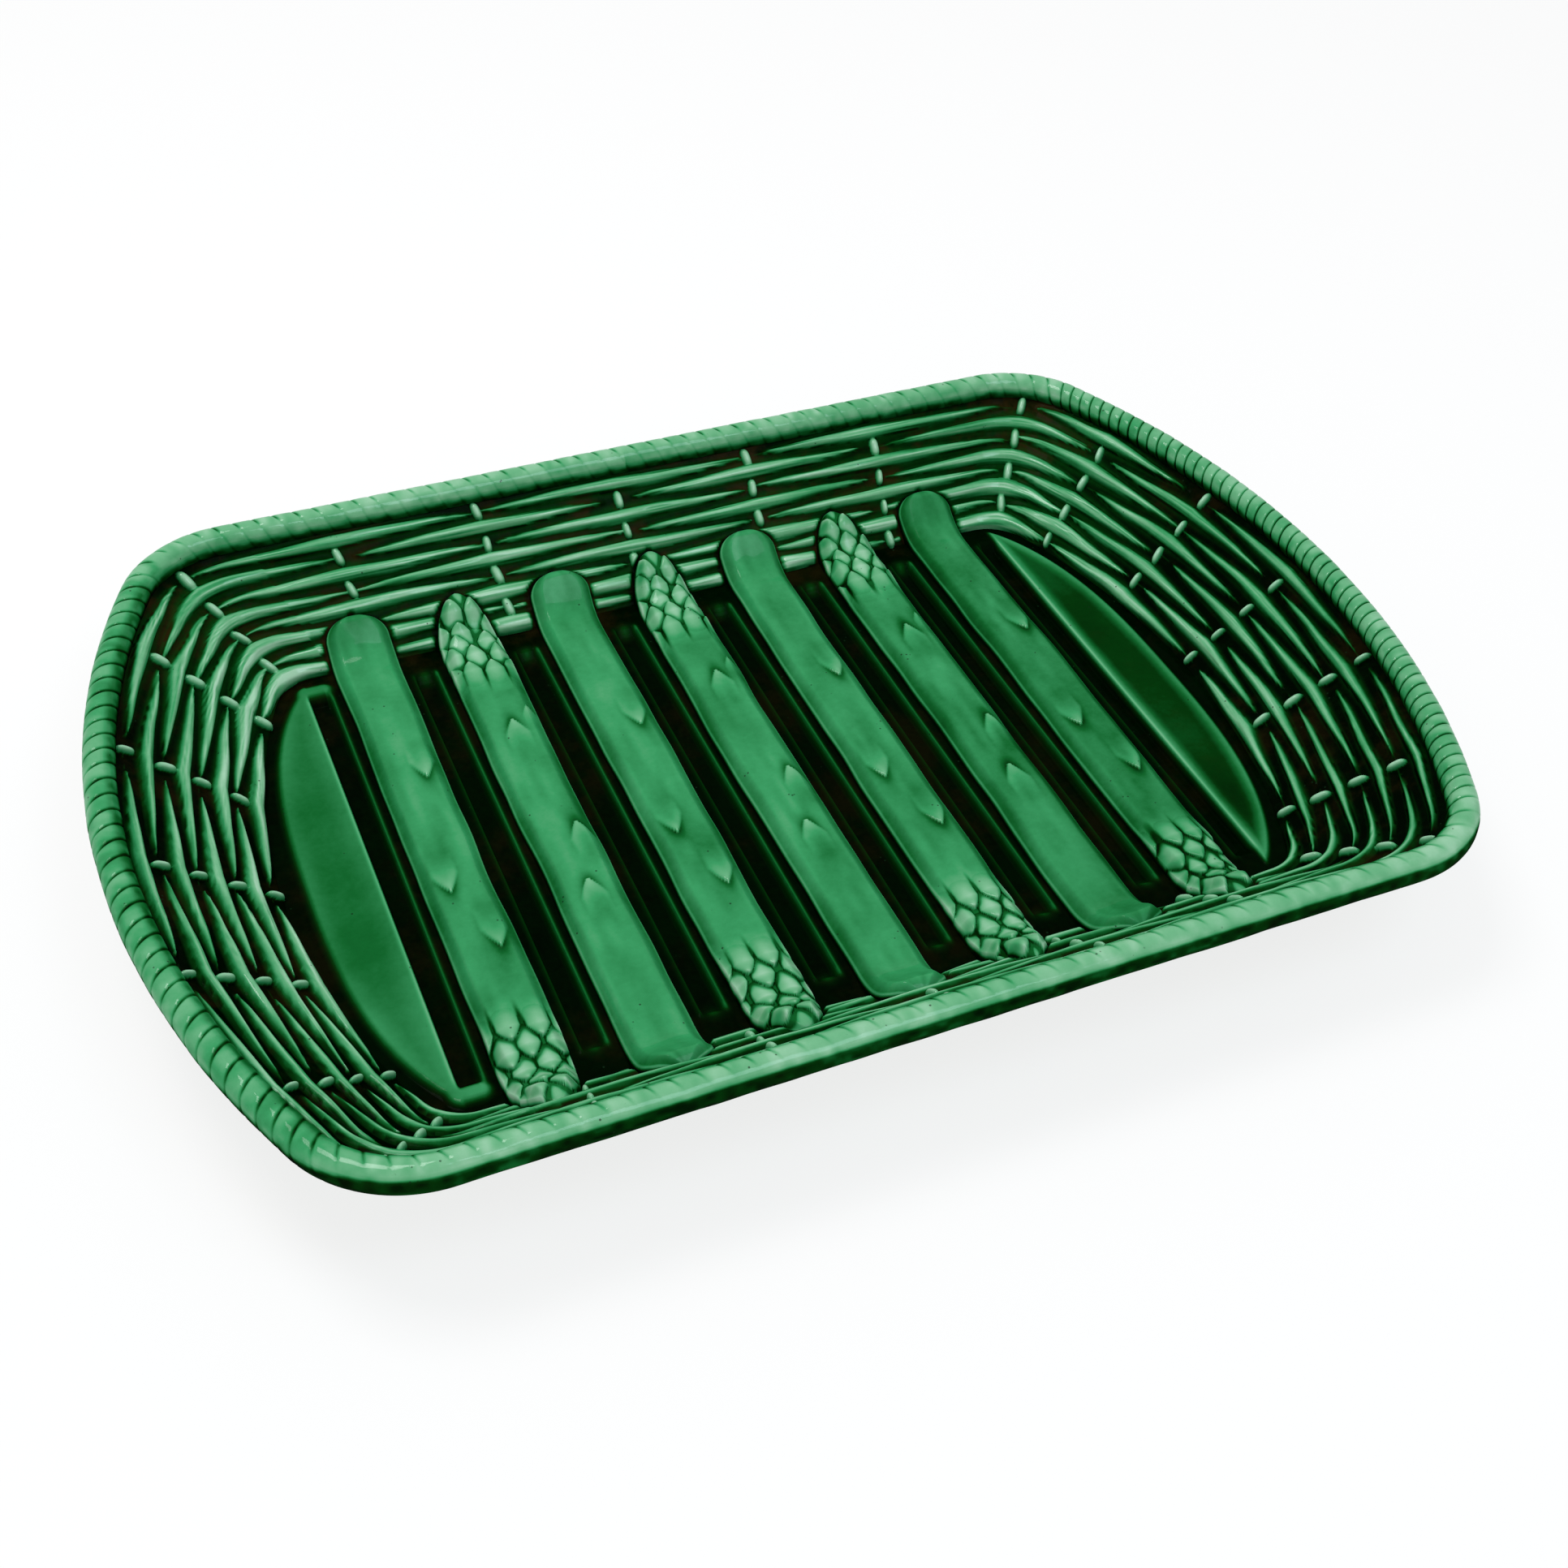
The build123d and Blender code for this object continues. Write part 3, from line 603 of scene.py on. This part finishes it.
# %% Floor with its panels
PANEL_RISE, PANEL_DISH = 1.2, 0.7
WRAP_X, WRAP_HALF, WRAP_Y, WRAP_RADIUS = 116.75, 2.75, 84.0, 3.0
EDGE_SHINE, EDGE_SHINE_END = 0.7, (83.0, 78.0)
left = floor_x < 0
panel_share = np.clip(np.abs(floor_y) / PANEL_HALF, 0, 1) + 0.0 * floor_x
panel_edge_x = PANEL_INNER + (PANEL_OUTER - PANEL_INNER) * (1 - panel_share**2.8) ** 0.8
edge_slope = np.gradient(panel_edge_x, axis=1) / np.gradient(floor_y, axis=1)
outer_edge = np.where(panel_share < 1, (panel_edge_x - end_x) / np.hypot(1, edge_slope), -9.0)
to_edge = np.minimum(end_x - PANEL_INNER, outer_edge)
from_wrap = np.hypot(np.maximum(np.abs(end_x - WRAP_X) - WRAP_HALF, 0), np.abs(floor_y) - WRAP_Y)
wrap = np.where(left, smooth_step(-1.2, 2.0, WRAP_RADIUS - from_wrap), 0)
outer_soft = np.where(left, smooth_step(-0.8, 2.8, outer_edge), smooth_step(-0.5, 1.8, outer_edge))
panel = 1 - (1 - smooth_step(-0.3, 0.9, end_x - PANEL_INNER) * outer_soft) * (1 - wrap)
dished = panel * smooth_step(0.5, np.where(left, 8.0, 6.0), to_edge)
floor_rise = -CHANNEL_DEPTH * in_channel + BEAD_RISE * bead + PANEL_RISE * panel - PANEL_DISH * dished
panel_thin, panel_middle = np.where(left, 0.48, 0.53), np.where(left, 0.07, 0.31)
floor_glaze_and_shading = 0.99 - 0.36 * bead * bead_highlight_side - 0.26 * channel_end_highlight - panel * (panel_thin - panel_middle * dished)
# Painted highlight: a pale line along each panel's straight inner edge.
straight_edge_highlight = np.exp(-(((end_x - PANEL_INNER - EDGE_SHINE) / EDGE_SHINE) ** 2))
straight_edge_highlight = straight_edge_highlight * smooth_step(*EDGE_SHINE_END, np.abs(floor_y))
floor_glaze_and_shading = floor_glaze_and_shading - 0.22 * straight_edge_highlight * panel
floor_glaze_and_shading = floor_glaze_and_shading + 0.07 * patches(floor_x / 14, floor_y / 30) * panel
floor_top = np.stack(np.broadcast_arrays(floor_x, floor_y, FLOOR_Z + floor_rise), axis=-1)
base_z = np.array([[FOOT_Z, FOOT_Z]])
floor_base = np.stack(np.broadcast_arrays(floor_x, floor_y[:, [-1, 0]], base_z), axis=-1)
floor_points = np.concatenate([floor_top, floor_base], axis=1)
floor_glaze_and_shading_grid = np.concatenate([floor_glaze_and_shading, np.full((len(floor_x), 2), 0.6)], axis=1)
floor_nodes = ["end_panel_left", "end_panel_right"]
floor = grid_piece("floor", floor_points, floor_glaze_and_shading_grid, False, "glazed_floor", floor_nodes, 70)

# %% [markdown]
# The foot ring is a plain band under the wall, and the plate stands on it. Its profile, in steps out and
# up, is carried round a level line. The glaze is worn thin on the face that rests on the table.

# %% Foot ring
FOOT_SET_IN = 3.0
foot_profile = np.array([(0.0, 2.2), (-0.3, 0.7), (-1.1, 0.0), (-5.9, 0.0), (-6.7, 0.7), (-7.0, 2.2)])
foot_run = np.linspace(0, 1, 480, endpoint=False)[:, None]
foot_reach = [np.full((1, 1), value) - FOOT_SET_IN + foot_profile[None, :, 0] for value in WALL_FOOT[:2]]
foot_reach.append(np.full((1, 1), WALL_FOOT[2]) - FOOT_SET_IN + 0.5 * foot_profile[None, :, 0])
foot_x, foot_y, _, _ = tray_point(*foot_reach, foot_run * 4 * tray_quarter(*foot_reach)[-1])
foot_points = np.stack(np.broadcast_arrays(foot_x, foot_y, foot_profile[None, :, 1]), axis=-1)
foot_pool = np.broadcast_to(np.array([0.6, 0.55, 0.2, 0.2, 0.55, 0.6]), foot_x.shape)
foot_ring = grid_piece("foot_band", foot_points, foot_pool, True, "glazed_dish", ["dish", "foot_ring"], 60)

# %% [markdown]
# An asparagus spear is a low, flat-crowned stem with sloping sides. Pointed bracts lie along it, and the
# bud at its tip is covered by rows of overlapping scales. Each leaf is a height map of its own, and the
# spear takes the highest leaf at each point, so that lower scales lap over the ones nearer the tip.

# %% Leaves
TIP_START = spear_reach - TIP_LENGTH
SCALE_LEAD, SCALE_STEP, SCALE_DRIFT = 9.0, 7.0, 9.0
SCALE_LENGTH, SCALE_HALF, SCALE_RISE, SCALE_TAPER = 15.5, 0.42, 2.7, 0.5
BRACT_LENGTH, BRACT_HALF, BRACT_RISE, BRACT_TAPER = 17, 4.4, 1.1, 0.75


def leaf(run, x, root, middle, length, half, rise, taper):
    """Height of one leaf, a keel that stands proud at its point, and its painted highlight, 1 on the crest.

    The outline narrows with a power of the length that is left, and a low power gives a blunt point.
    """
    along = np.clip((run - root) / length, 0, 1)
    outline = np.minimum(1, 1.9 * (1 - along) ** taper)
    across = np.abs(x - middle) / (half * np.maximum(outline, 1e-6))
    inside = (run > root) & (along < 1) & (across < 1)
    keel = along**1.6 * (1 - 0.35 * along**5) * (1 - 0.75 * across**2) * smooth_step(0, 0.34, 1 - across)
    dome_highlight = (1 - across**2) * np.minimum(1, 3.5 * (1 - along)) * smooth_step(0, 0.5, along)
    return np.where(inside, rise * keel, 0), np.where(inside, dome_highlight, 0)


def bud_scales(run, x):
    """Heights and painted highlights of the bud's scales, five rows of four and three by turns, each shifted
    a little.
    """
    leaves, dome_highlights = np.zeros(x.shape), np.zeros(x.shape)
    for row in range(5):
        root = TIP_START - SCALE_LEAD + SCALE_STEP * row
        length, rise = SCALE_LENGTH + 0.3 * row, SCALE_RISE + 0.1 * row
        for middle in (-0.74, 0.0, 0.74) if row % 2 else (-1.05, -0.37, 0.37, 1.05):
            shift = 0.08 * rng.normal(size=2)
            place = root + SCALE_DRIFT * shift[1], middle + shift[0]
            keel, dome_highlight = leaf(run, x / SPEAR_HALF, *place, length, SCALE_HALF, rise, SCALE_TAPER)
            dome_highlights = np.where(keel > leaves, dome_highlight, dome_highlights)
            leaves = np.maximum(leaves, keel)
    return leaves, dome_highlights


def blurred(heights, passes):
    """Heights smoothed over the grid, by passes of the weights 1, 2, 1 along its rows and columns."""
    for _ in range(passes):
        heights = (np.roll(heights, 1, 0) + np.roll(heights, -1, 0) + 2 * heights) / 4
        heights = (np.roll(heights, 1, 1) + np.roll(heights, -1, 1) + 2 * heights) / 4
    return heights


print("buds start", round(TIP_START, 1), "mm along the path from the middle")

# %% [markdown]
# All spears share one grid. Its rows follow the path, closer together at the round butt and at the bud,
# and its columns are a little closer on the sloping sides than on the crown.

# %% Spear grid
CROWN_HEIGHT, SIDE_FALL, EDGE_FALL, SEAT_DEPTH = 4.3, 2.1, 1.2, 1.5
CROWN_HALF, SIDE_FOOT, EDGE_START = 0.62, 0.96, 0.93
butt_turn = np.linspace(0, np.pi / 2, 48, endpoint=False)
butt_rows = -spear_reach + BUTT_LENGTH * (1 - np.cos(butt_turn))
stem_rows = np.linspace(-spear_reach + BUTT_LENGTH, TIP_START - SCALE_LEAD, 172, endpoint=False)
bud_rows = np.linspace(TIP_START - SCALE_LEAD, spear_reach, 160)
spear_rows = np.concatenate([butt_rows, stem_rows, bud_rows])[:, None]
left_columns = np.linspace(-1, -CROWN_HALF, 16, endpoint=False)
crown_columns = np.linspace(-CROWN_HALF, CROWN_HALF, 44, endpoint=False)
spear_across = np.concatenate([left_columns, crown_columns, np.linspace(CROWN_HALF, 1, 17)])[None, :]
from_middle = np.abs(spear_across)
spear_side = smooth_step(CROWN_HALF, SIDE_FOOT, from_middle)
spear_edge = smooth_step(EDGE_START, 1.0, from_middle)
bud = smooth_step(TIP_START - 12, TIP_START + 10, spear_rows)
print("spear grid:", (spear_rows.size, spear_across.size))

# %% [markdown]
# The seven spears point near and far by turns. Beside raised leaves the spear is darkened, as painted shade
# and gathered glaze, and on their crests lightened, as painted highlight: the height, blurred, less the
# height itself is large in a hollow and below zero on a crest, so it serves as the measure of both. The two
# spears on the right are a little darker.

# %% Spears
BLUR_PASSES = 30
EDGE_LINE, EDGE_LINE_WIDTH = 0.95, 0.022
DARKER = {6: 0.04, 7: 0.06}
# Point of each bract along the plate's y, its offset from the middle of the stem and its relative size.
bracts_near = ((-42.0, 4.0, 1), (-18.0, -2.5, 1), (30.0, 4.0, 1))
bracts_far = ((46.0, 1.0, 1), (51.0, 7.0, 0.6), (-3.0, 5.0, 1), (-26.0, 0.5, 1))


def spear_glaze(number, leaves, dome_highlights):
    """Glaze on a spear, thin on its crown, edge line and scale crests, thick on its sides and in hollows,
    with painted highlight and shade.
    """
    hollow_shading = blurred(leaves, BLUR_PASSES) - leaves
    line = np.exp(-(((from_middle - EDGE_LINE) / EDGE_LINE_WIDTH) ** 2))
    rim = smooth_step(SIDE_FOOT, 1.0, from_middle)
    # Painted shade on the sloping sides and at the foot, and a painted highlight along the edge line.
    pool = 0.46 + 0.14 * spear_side - 0.28 * line * (1 - 0.5 * bud) + 0.5 * rim - 0.16 * bud
    pool = pool + DARKER.get(number, 0)
    # Painted shade, with gathered glaze, in the hollows beside raised leaves, and painted highlight on their
    # crests.
    pool = pool + np.clip((1.1 + 0.9 * bud) * hollow_shading, 0, 0.36) + (0.5 + 0.1 * bud) * np.minimum(hollow_shading, 0)
    # Painted highlight on the crest of each bud scale and painted shade towards its edges.
    pool = pool + bud * np.where(leaves > 0.3, 0.25 - 0.42 * dome_highlights**1.4, -0.03)
    pool = pool + 0.06 * patches(spear_rows / 22 + 60 * number, 1.2 * spear_across)
    return np.clip(pool + 0.04 * patches(spear_rows / 12 + 20 * number, 4.0 * spear_across), 0.05, 1)


def make_spear(number, middle):
    """Closed spear: a section of crown and sloping sides carried along the path, with its leaves added."""
    near = number % 2 == 1
    direction = -1 if near else 1
    width = spear_width(spear_rows) * (1 + 0.025 * waves(spear_rows, 170))
    x = spear_across * SPEAR_HALF * width
    lumps = 0.22 * patches(spear_rows / 13 + 40 * number, 1.6 * spear_across)
    crown = CROWN_HEIGHT - (0.35 + 0.9 * bud) * spear_across**2
    crown = crown - SIDE_FALL * spear_side - EDGE_FALL * spear_edge + lumps
    leaves, dome_highlights = bud_scales(spear_rows, x)
    for point, offset, size in bracts_near if near else bracts_far:
        root = direction * point - BRACT_LENGTH * size
        bract = BRACT_LENGTH * size, BRACT_HALF * size, BRACT_RISE * size, BRACT_TAPER
        leaves = np.maximum(leaves, leaf(spear_rows, x, root, offset, *bract)[0])
    leaves = leaves * smooth_step(0.0, 0.3, width) * (1 - spear_edge)
    height = crown * smooth_step(-0.15, 0.75, width) + leaves
    out, z, slope = spear_path(spear_rows)
    top_x = middle + x + 0.5 * waves(spear_rows, 260)
    top_y, top_z = direction * (out - np.sin(slope) * height), z + np.cos(slope) * height
    top = np.stack(np.broadcast_arrays(top_x, top_y, top_z), axis=-1)
    seat_y, seat_z = direction * (out + np.sin(slope) * SEAT_DEPTH), z - np.cos(slope) * SEAT_DEPTH
    seat = np.stack(np.broadcast_arrays(top_x[:, [-1, 0]], seat_y, seat_z), axis=-1)
    points = np.concatenate([top, seat], axis=1)
    seat_pool = np.full((len(spear_rows), 2), 0.9)
    glaze_and_shading_grid = np.concatenate([spear_glaze(number, leaves, dome_highlights), seat_pool], axis=1)
    nodes = [f"spear_{number}", f"spear_{number}_scales"]
    return grid_piece(f"leafed_spear_{number}", points, glaze_and_shading_grid, False, "glazed_spear", nodes, 180)


spears = [make_spear(number + 1, middle) for number, middle in enumerate(spear_middles)]

# %% [markdown]
# Shader sums are easier to read as Python. A small class wraps a socket, and its operators add Math
# nodes; any other node comes from one method.


# %% Shader expressions
class Shade:
    """A socket in a material's node tree, with operators that add Math nodes."""

    def __init__(self, tree, socket):
        self.tree, self.socket = tree, socket

    def node(self, kind, settings=None, output=0, **inputs):
        """Adds a node of a type, sets its settings, then its inputs, and wraps one output.

        An input is named by its socket, with _ for a space, or by its number, as in i0.
        """
        made = self.tree.nodes.new(kind)
        for key, value in (settings or {}).items():
            if key == "stops":
                ramp = made.color_ramp
                for place, _ in value[1:-1]:
                    ramp.elements.new(place)
                for element, (place, colour) in zip(ramp.elements, value):
                    element.position = place
                    element.color = (*colour, 1)
            else:
                setattr(made, key, value)
        for key, value in inputs.items():
            numbered = key[0] == "i" and key[1:].isdigit()
            socket = made.inputs[int(key[1:]) if numbered else key.replace("_", " ")]
            if isinstance(value, Shade):
                self.tree.links.new(value.socket, socket)
            else:
                socket.default_value = value
        return Shade(self.tree, made.outputs[output])

    def math(self, operation, *values):
        """Math node of an operation on values or sockets."""
        inputs = {f"i{number}": value for number, value in enumerate(values)}
        return self.node("ShaderNodeMath", {"operation": operation}, **inputs)

    def __add__(self, other):
        return self.math("ADD", self, other)

    __radd__ = __add__

    def __sub__(self, other):
        return self.math("SUBTRACT", self, other)

    def __rsub__(self, other):
        return self.math("SUBTRACT", other, self)

    def __mul__(self, other):
        return self.math("MULTIPLY", self, other)

    __rmul__ = __mul__

    def step(self, low, high):
        """0 below low and 1 above high, smooth between them."""
        settings = {"interpolation_type": "SMOOTHSTEP"}
        return self.node("ShaderNodeMapRange", settings, Value=self, From_Min=low, From_Max=high)


# %% [markdown]
# A coloured lead glaze is like green glass: pale where it is thin on the crests, emerald at medium
# thickness, almost black where it lies thick. The colour is a ramp over the stored tone, which holds that
# thickness together with painted highlight on crests and painted shade in hollows, creases and on
# shaded sides, and it is shifted by noise because no glaze lies evenly. The hollows have a brown tinge,
# more so on the far side. A clear coat gives the gloss. Inside the tray the hollows get almost none of
# it, because they would mirror the white studio, and on faces that look down they keep part of it.

# %% Glaze
# The stops run from thin glaze with painted highlight at 0 to thick glaze with painted shade at 1.
GLAZE_STOPS = (
    (0.00, (0.350, 0.600, 0.410)),
    (0.20, (0.155, 0.440, 0.225)),
    (0.42, (0.034, 0.300, 0.105)),
    (0.62, (0.0056, 0.120, 0.023)),
    (0.76, (0.0012, 0.035, 0.003)),
    (0.87, (0.0006, 0.012, 0.0012)),
    (1.00, (0.0002, 0.0022, 0.0002)),
)
BROWN, PINHOLE = (0.030, 0.016, 0.004, 1), (0.006, 0.022, 0.008, 1)


def glaze(name, mottle, brown, gloss, below):
    """Glaze material: ramp over glaze tone and painted light plus noise, brown tinge in hollows, pinholes,
    uneven gloss.

    Mottle is the strength of the noise, brown that of the tinge, gloss the coat on thin glaze, and below
    the share of it that thick glaze keeps on faces that look down.
    """
    material = bpy.data.materials.new(name)
    material.use_nodes = True
    tree = material.node_tree
    shader = tree.nodes["Principled BSDF"]
    start = Shade(tree, None)
    place = start.node("ShaderNodeTexCoord", output=3)
    pool = start.node("ShaderNodeAttribute", {"attribute_name": "pool"}, output=2)
    cloud = start.node("ShaderNodeTexNoise", Vector=place, Scale=70.0, Detail=4.0, Roughness=0.6)
    grain = start.node("ShaderNodeTexNoise", Vector=place, Scale=520.0, Detail=3.0, Roughness=0.6)
    depth = pool + (cloud - 0.5) * mottle + (grain - 0.5) * (mottle * 0.6)
    colour = start.node("ShaderNodeValToRGB", {"stops": GLAZE_STOPS}, Fac=depth)
    patch = start.node("ShaderNodeTexNoise", Vector=place, Scale=34.0, Detail=5.0, Roughness=0.7)
    far = start.node("ShaderNodeSeparateXYZ", output=1, Vector=place).step(0.07, 0.11)
    tinge = patch.step(0.46, 0.66) * depth.step(0.6, 0.95) * (far * 0.7 + 0.3) * brown
    mix = {"data_type": "RGBA", "blend_type": "MIX"}
    warm = start.node("ShaderNodeMix", mix, 2, i0=tinge, i6=colour, i7=BROWN)
    pits = start.node("ShaderNodeTexVoronoi", {"feature": "F1"}, Vector=place, Scale=400.0)
    chosen = start.node("ShaderNodeTexNoise", Vector=place, Scale=120.0, Detail=1.0)
    pinhole = (1 - pits.step(0.08, 0.16)) * chosen.step(0.62, 0.68)
    final = start.node("ShaderNodeMix", mix, 2, i0=pinhole * 0.8, i6=warm, i7=PINHOLE)
    tree.links.new(final.socket, shader.inputs["Base Color"])
    rough = 0.16 + (grain - 0.5) * 0.12 + depth.step(0.5, 1.0) * 0.14
    tree.links.new(rough.socket, shader.inputs["Roughness"])
    normal = start.node("ShaderNodeNewGeometry", output=1)
    downward = 1 - start.node("ShaderNodeSeparateXYZ", output=2, Vector=normal).step(-0.25, 0.0)
    coat = gloss - depth.step(0.25, 0.66) * (gloss - 0.01) * (1 - downward * below)
    tree.links.new(coat.socket, shader.inputs["Coat Weight"])
    wave = start.node("ShaderNodeTexNoise", Vector=place, Scale=260.0, Detail=3.0, Roughness=0.5)
    swell = wave + grain * 0.4 - pinhole * 0.5
    bump = start.node("ShaderNodeBump", Strength=0.22, Distance=0.0006, Height=swell)
    tree.links.new(bump.socket, shader.inputs["Normal"])
    shader.inputs["Specular IOR Level"].default_value = 0.0
    shader.inputs["Coat Roughness"].default_value = 0.08
    return material


finishes = {
    "glazed_weave": glaze("weave_glaze", mottle=0.16, brown=0.9, gloss=0.6, below=0.5),
    "glazed_rope": glaze("rope_glaze", mottle=0.14, brown=0.2, gloss=0.5, below=0.0),
    "glazed_floor": glaze("floor_glaze", mottle=0.08, brown=0.4, gloss=0.5, below=0.5),
    "glazed_spear": glaze("spear_glaze", mottle=0.12, brown=0.1, gloss=0.35, below=0.0),
    "glazed_dish": glaze("foot_glaze", mottle=0.12, brown=0.3, gloss=0.3, below=0.5),
}
for piece in (rope_rim, *walls, floor, foot_ring, *spears):
    piece.data.materials.append(finishes[piece["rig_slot"]])
print("finishes:", sorted(finishes))

# %% [markdown]
# A pale table under two broad soft lamps is all the studio that a glossy plate needs. To the camera and in
# reflections the table is mostly white of its own, and the rest of it is plain paint, which keeps the
# plate's shadow.


# %% Table
def seen_rays(start):
    """1 for rays that show the background itself: from the camera, in gloss and through glass."""
    path = start.node("ShaderNodeLightPath").socket.node
    kinds = ("Is Camera Ray", "Is Glossy Ray", "Is Transmission Ray")
    camera_ray, gloss, glass = (Shade(start.tree, path.outputs[kind]) for kind in kinds)
    return start.math("MAXIMUM", camera_ray, start.math("MAXIMUM", gloss, glass))


table_mesh = bpy.data.meshes.new("table")
table_mesh.from_pydata([(-6, -6, 0), (6, -6, 0), (6, 6, 0), (-6, 6, 0)], [], [(0, 1, 2, 3)])
table = bpy.data.objects.new("table", table_mesh)
bpy.context.scene.collection.objects.link(table)
table_paint = bpy.data.materials.new("table_paint")
table_paint.use_nodes = True
table_tree = table_paint.node_tree
paint = table_tree.nodes["Principled BSDF"]
paint.inputs["Base Color"].default_value = (0.94, 0.94, 0.94, 1)
paint.inputs["Roughness"].default_value = 0.9
paint_rays = Shade(table_tree, None)
white = paint_rays.node("ShaderNodeEmission", Color=(1, 1, 1, 1), Strength=1.0)
seen_share = seen_rays(paint_rays) * 0.8
painted = Shade(table_tree, paint.outputs[0])
surface = paint_rays.node("ShaderNodeMixShader", i0=seen_share, i1=painted, i2=white)
table_tree.links.new(surface.socket, table_tree.nodes["Material Output"].inputs["Surface"])
table_mesh.materials.append(table_paint)
print("table paint nodes:", len(table_tree.nodes))

# %% [markdown]
# One lamp stands above the far left and a weaker, bluish one above the near right, as two windows would.
# The world is white to the camera and in reflections, and dimmer as a light, so that colours come out
# about as written.


# %% Lamps and world
def lamp(name, place, size, power, colour):
    """Square area lamp at a place, turned to the middle of the plate."""
    data = bpy.data.lights.new(name, "AREA")
    data.size, data.energy, data.color = size, power, colour
    made = bpy.data.objects.new(name, data)
    bpy.context.scene.collection.objects.link(made)
    made.location = place
    made.rotation_mode = "QUATERNION"
    made.rotation_quaternion = (-Vector(place)).to_track_quat("-Z", "Y")


lamp("sky_panel", (-0.35, 0.30, 1.25), 0.5, 7.8, (1, 1, 1))
lamp("front_panel", (0.30, -0.60, 1.25), 0.5, 4.2, (0.70, 0.90, 1))
world = bpy.data.worlds.new("studio")
bpy.context.scene.world = world
world.use_nodes = True
sky = world.node_tree.nodes["Background"]
sky.inputs["Color"].default_value = (1, 1, 1, 1)
strength = seen_rays(Shade(world.node_tree, None)) * 0.45 + 0.55
world.node_tree.links.new(strength.socket, sky.inputs["Strength"])
bpy.context.scene.view_settings.view_transform = "Standard"
print("lamps:", len(bpy.data.lights))
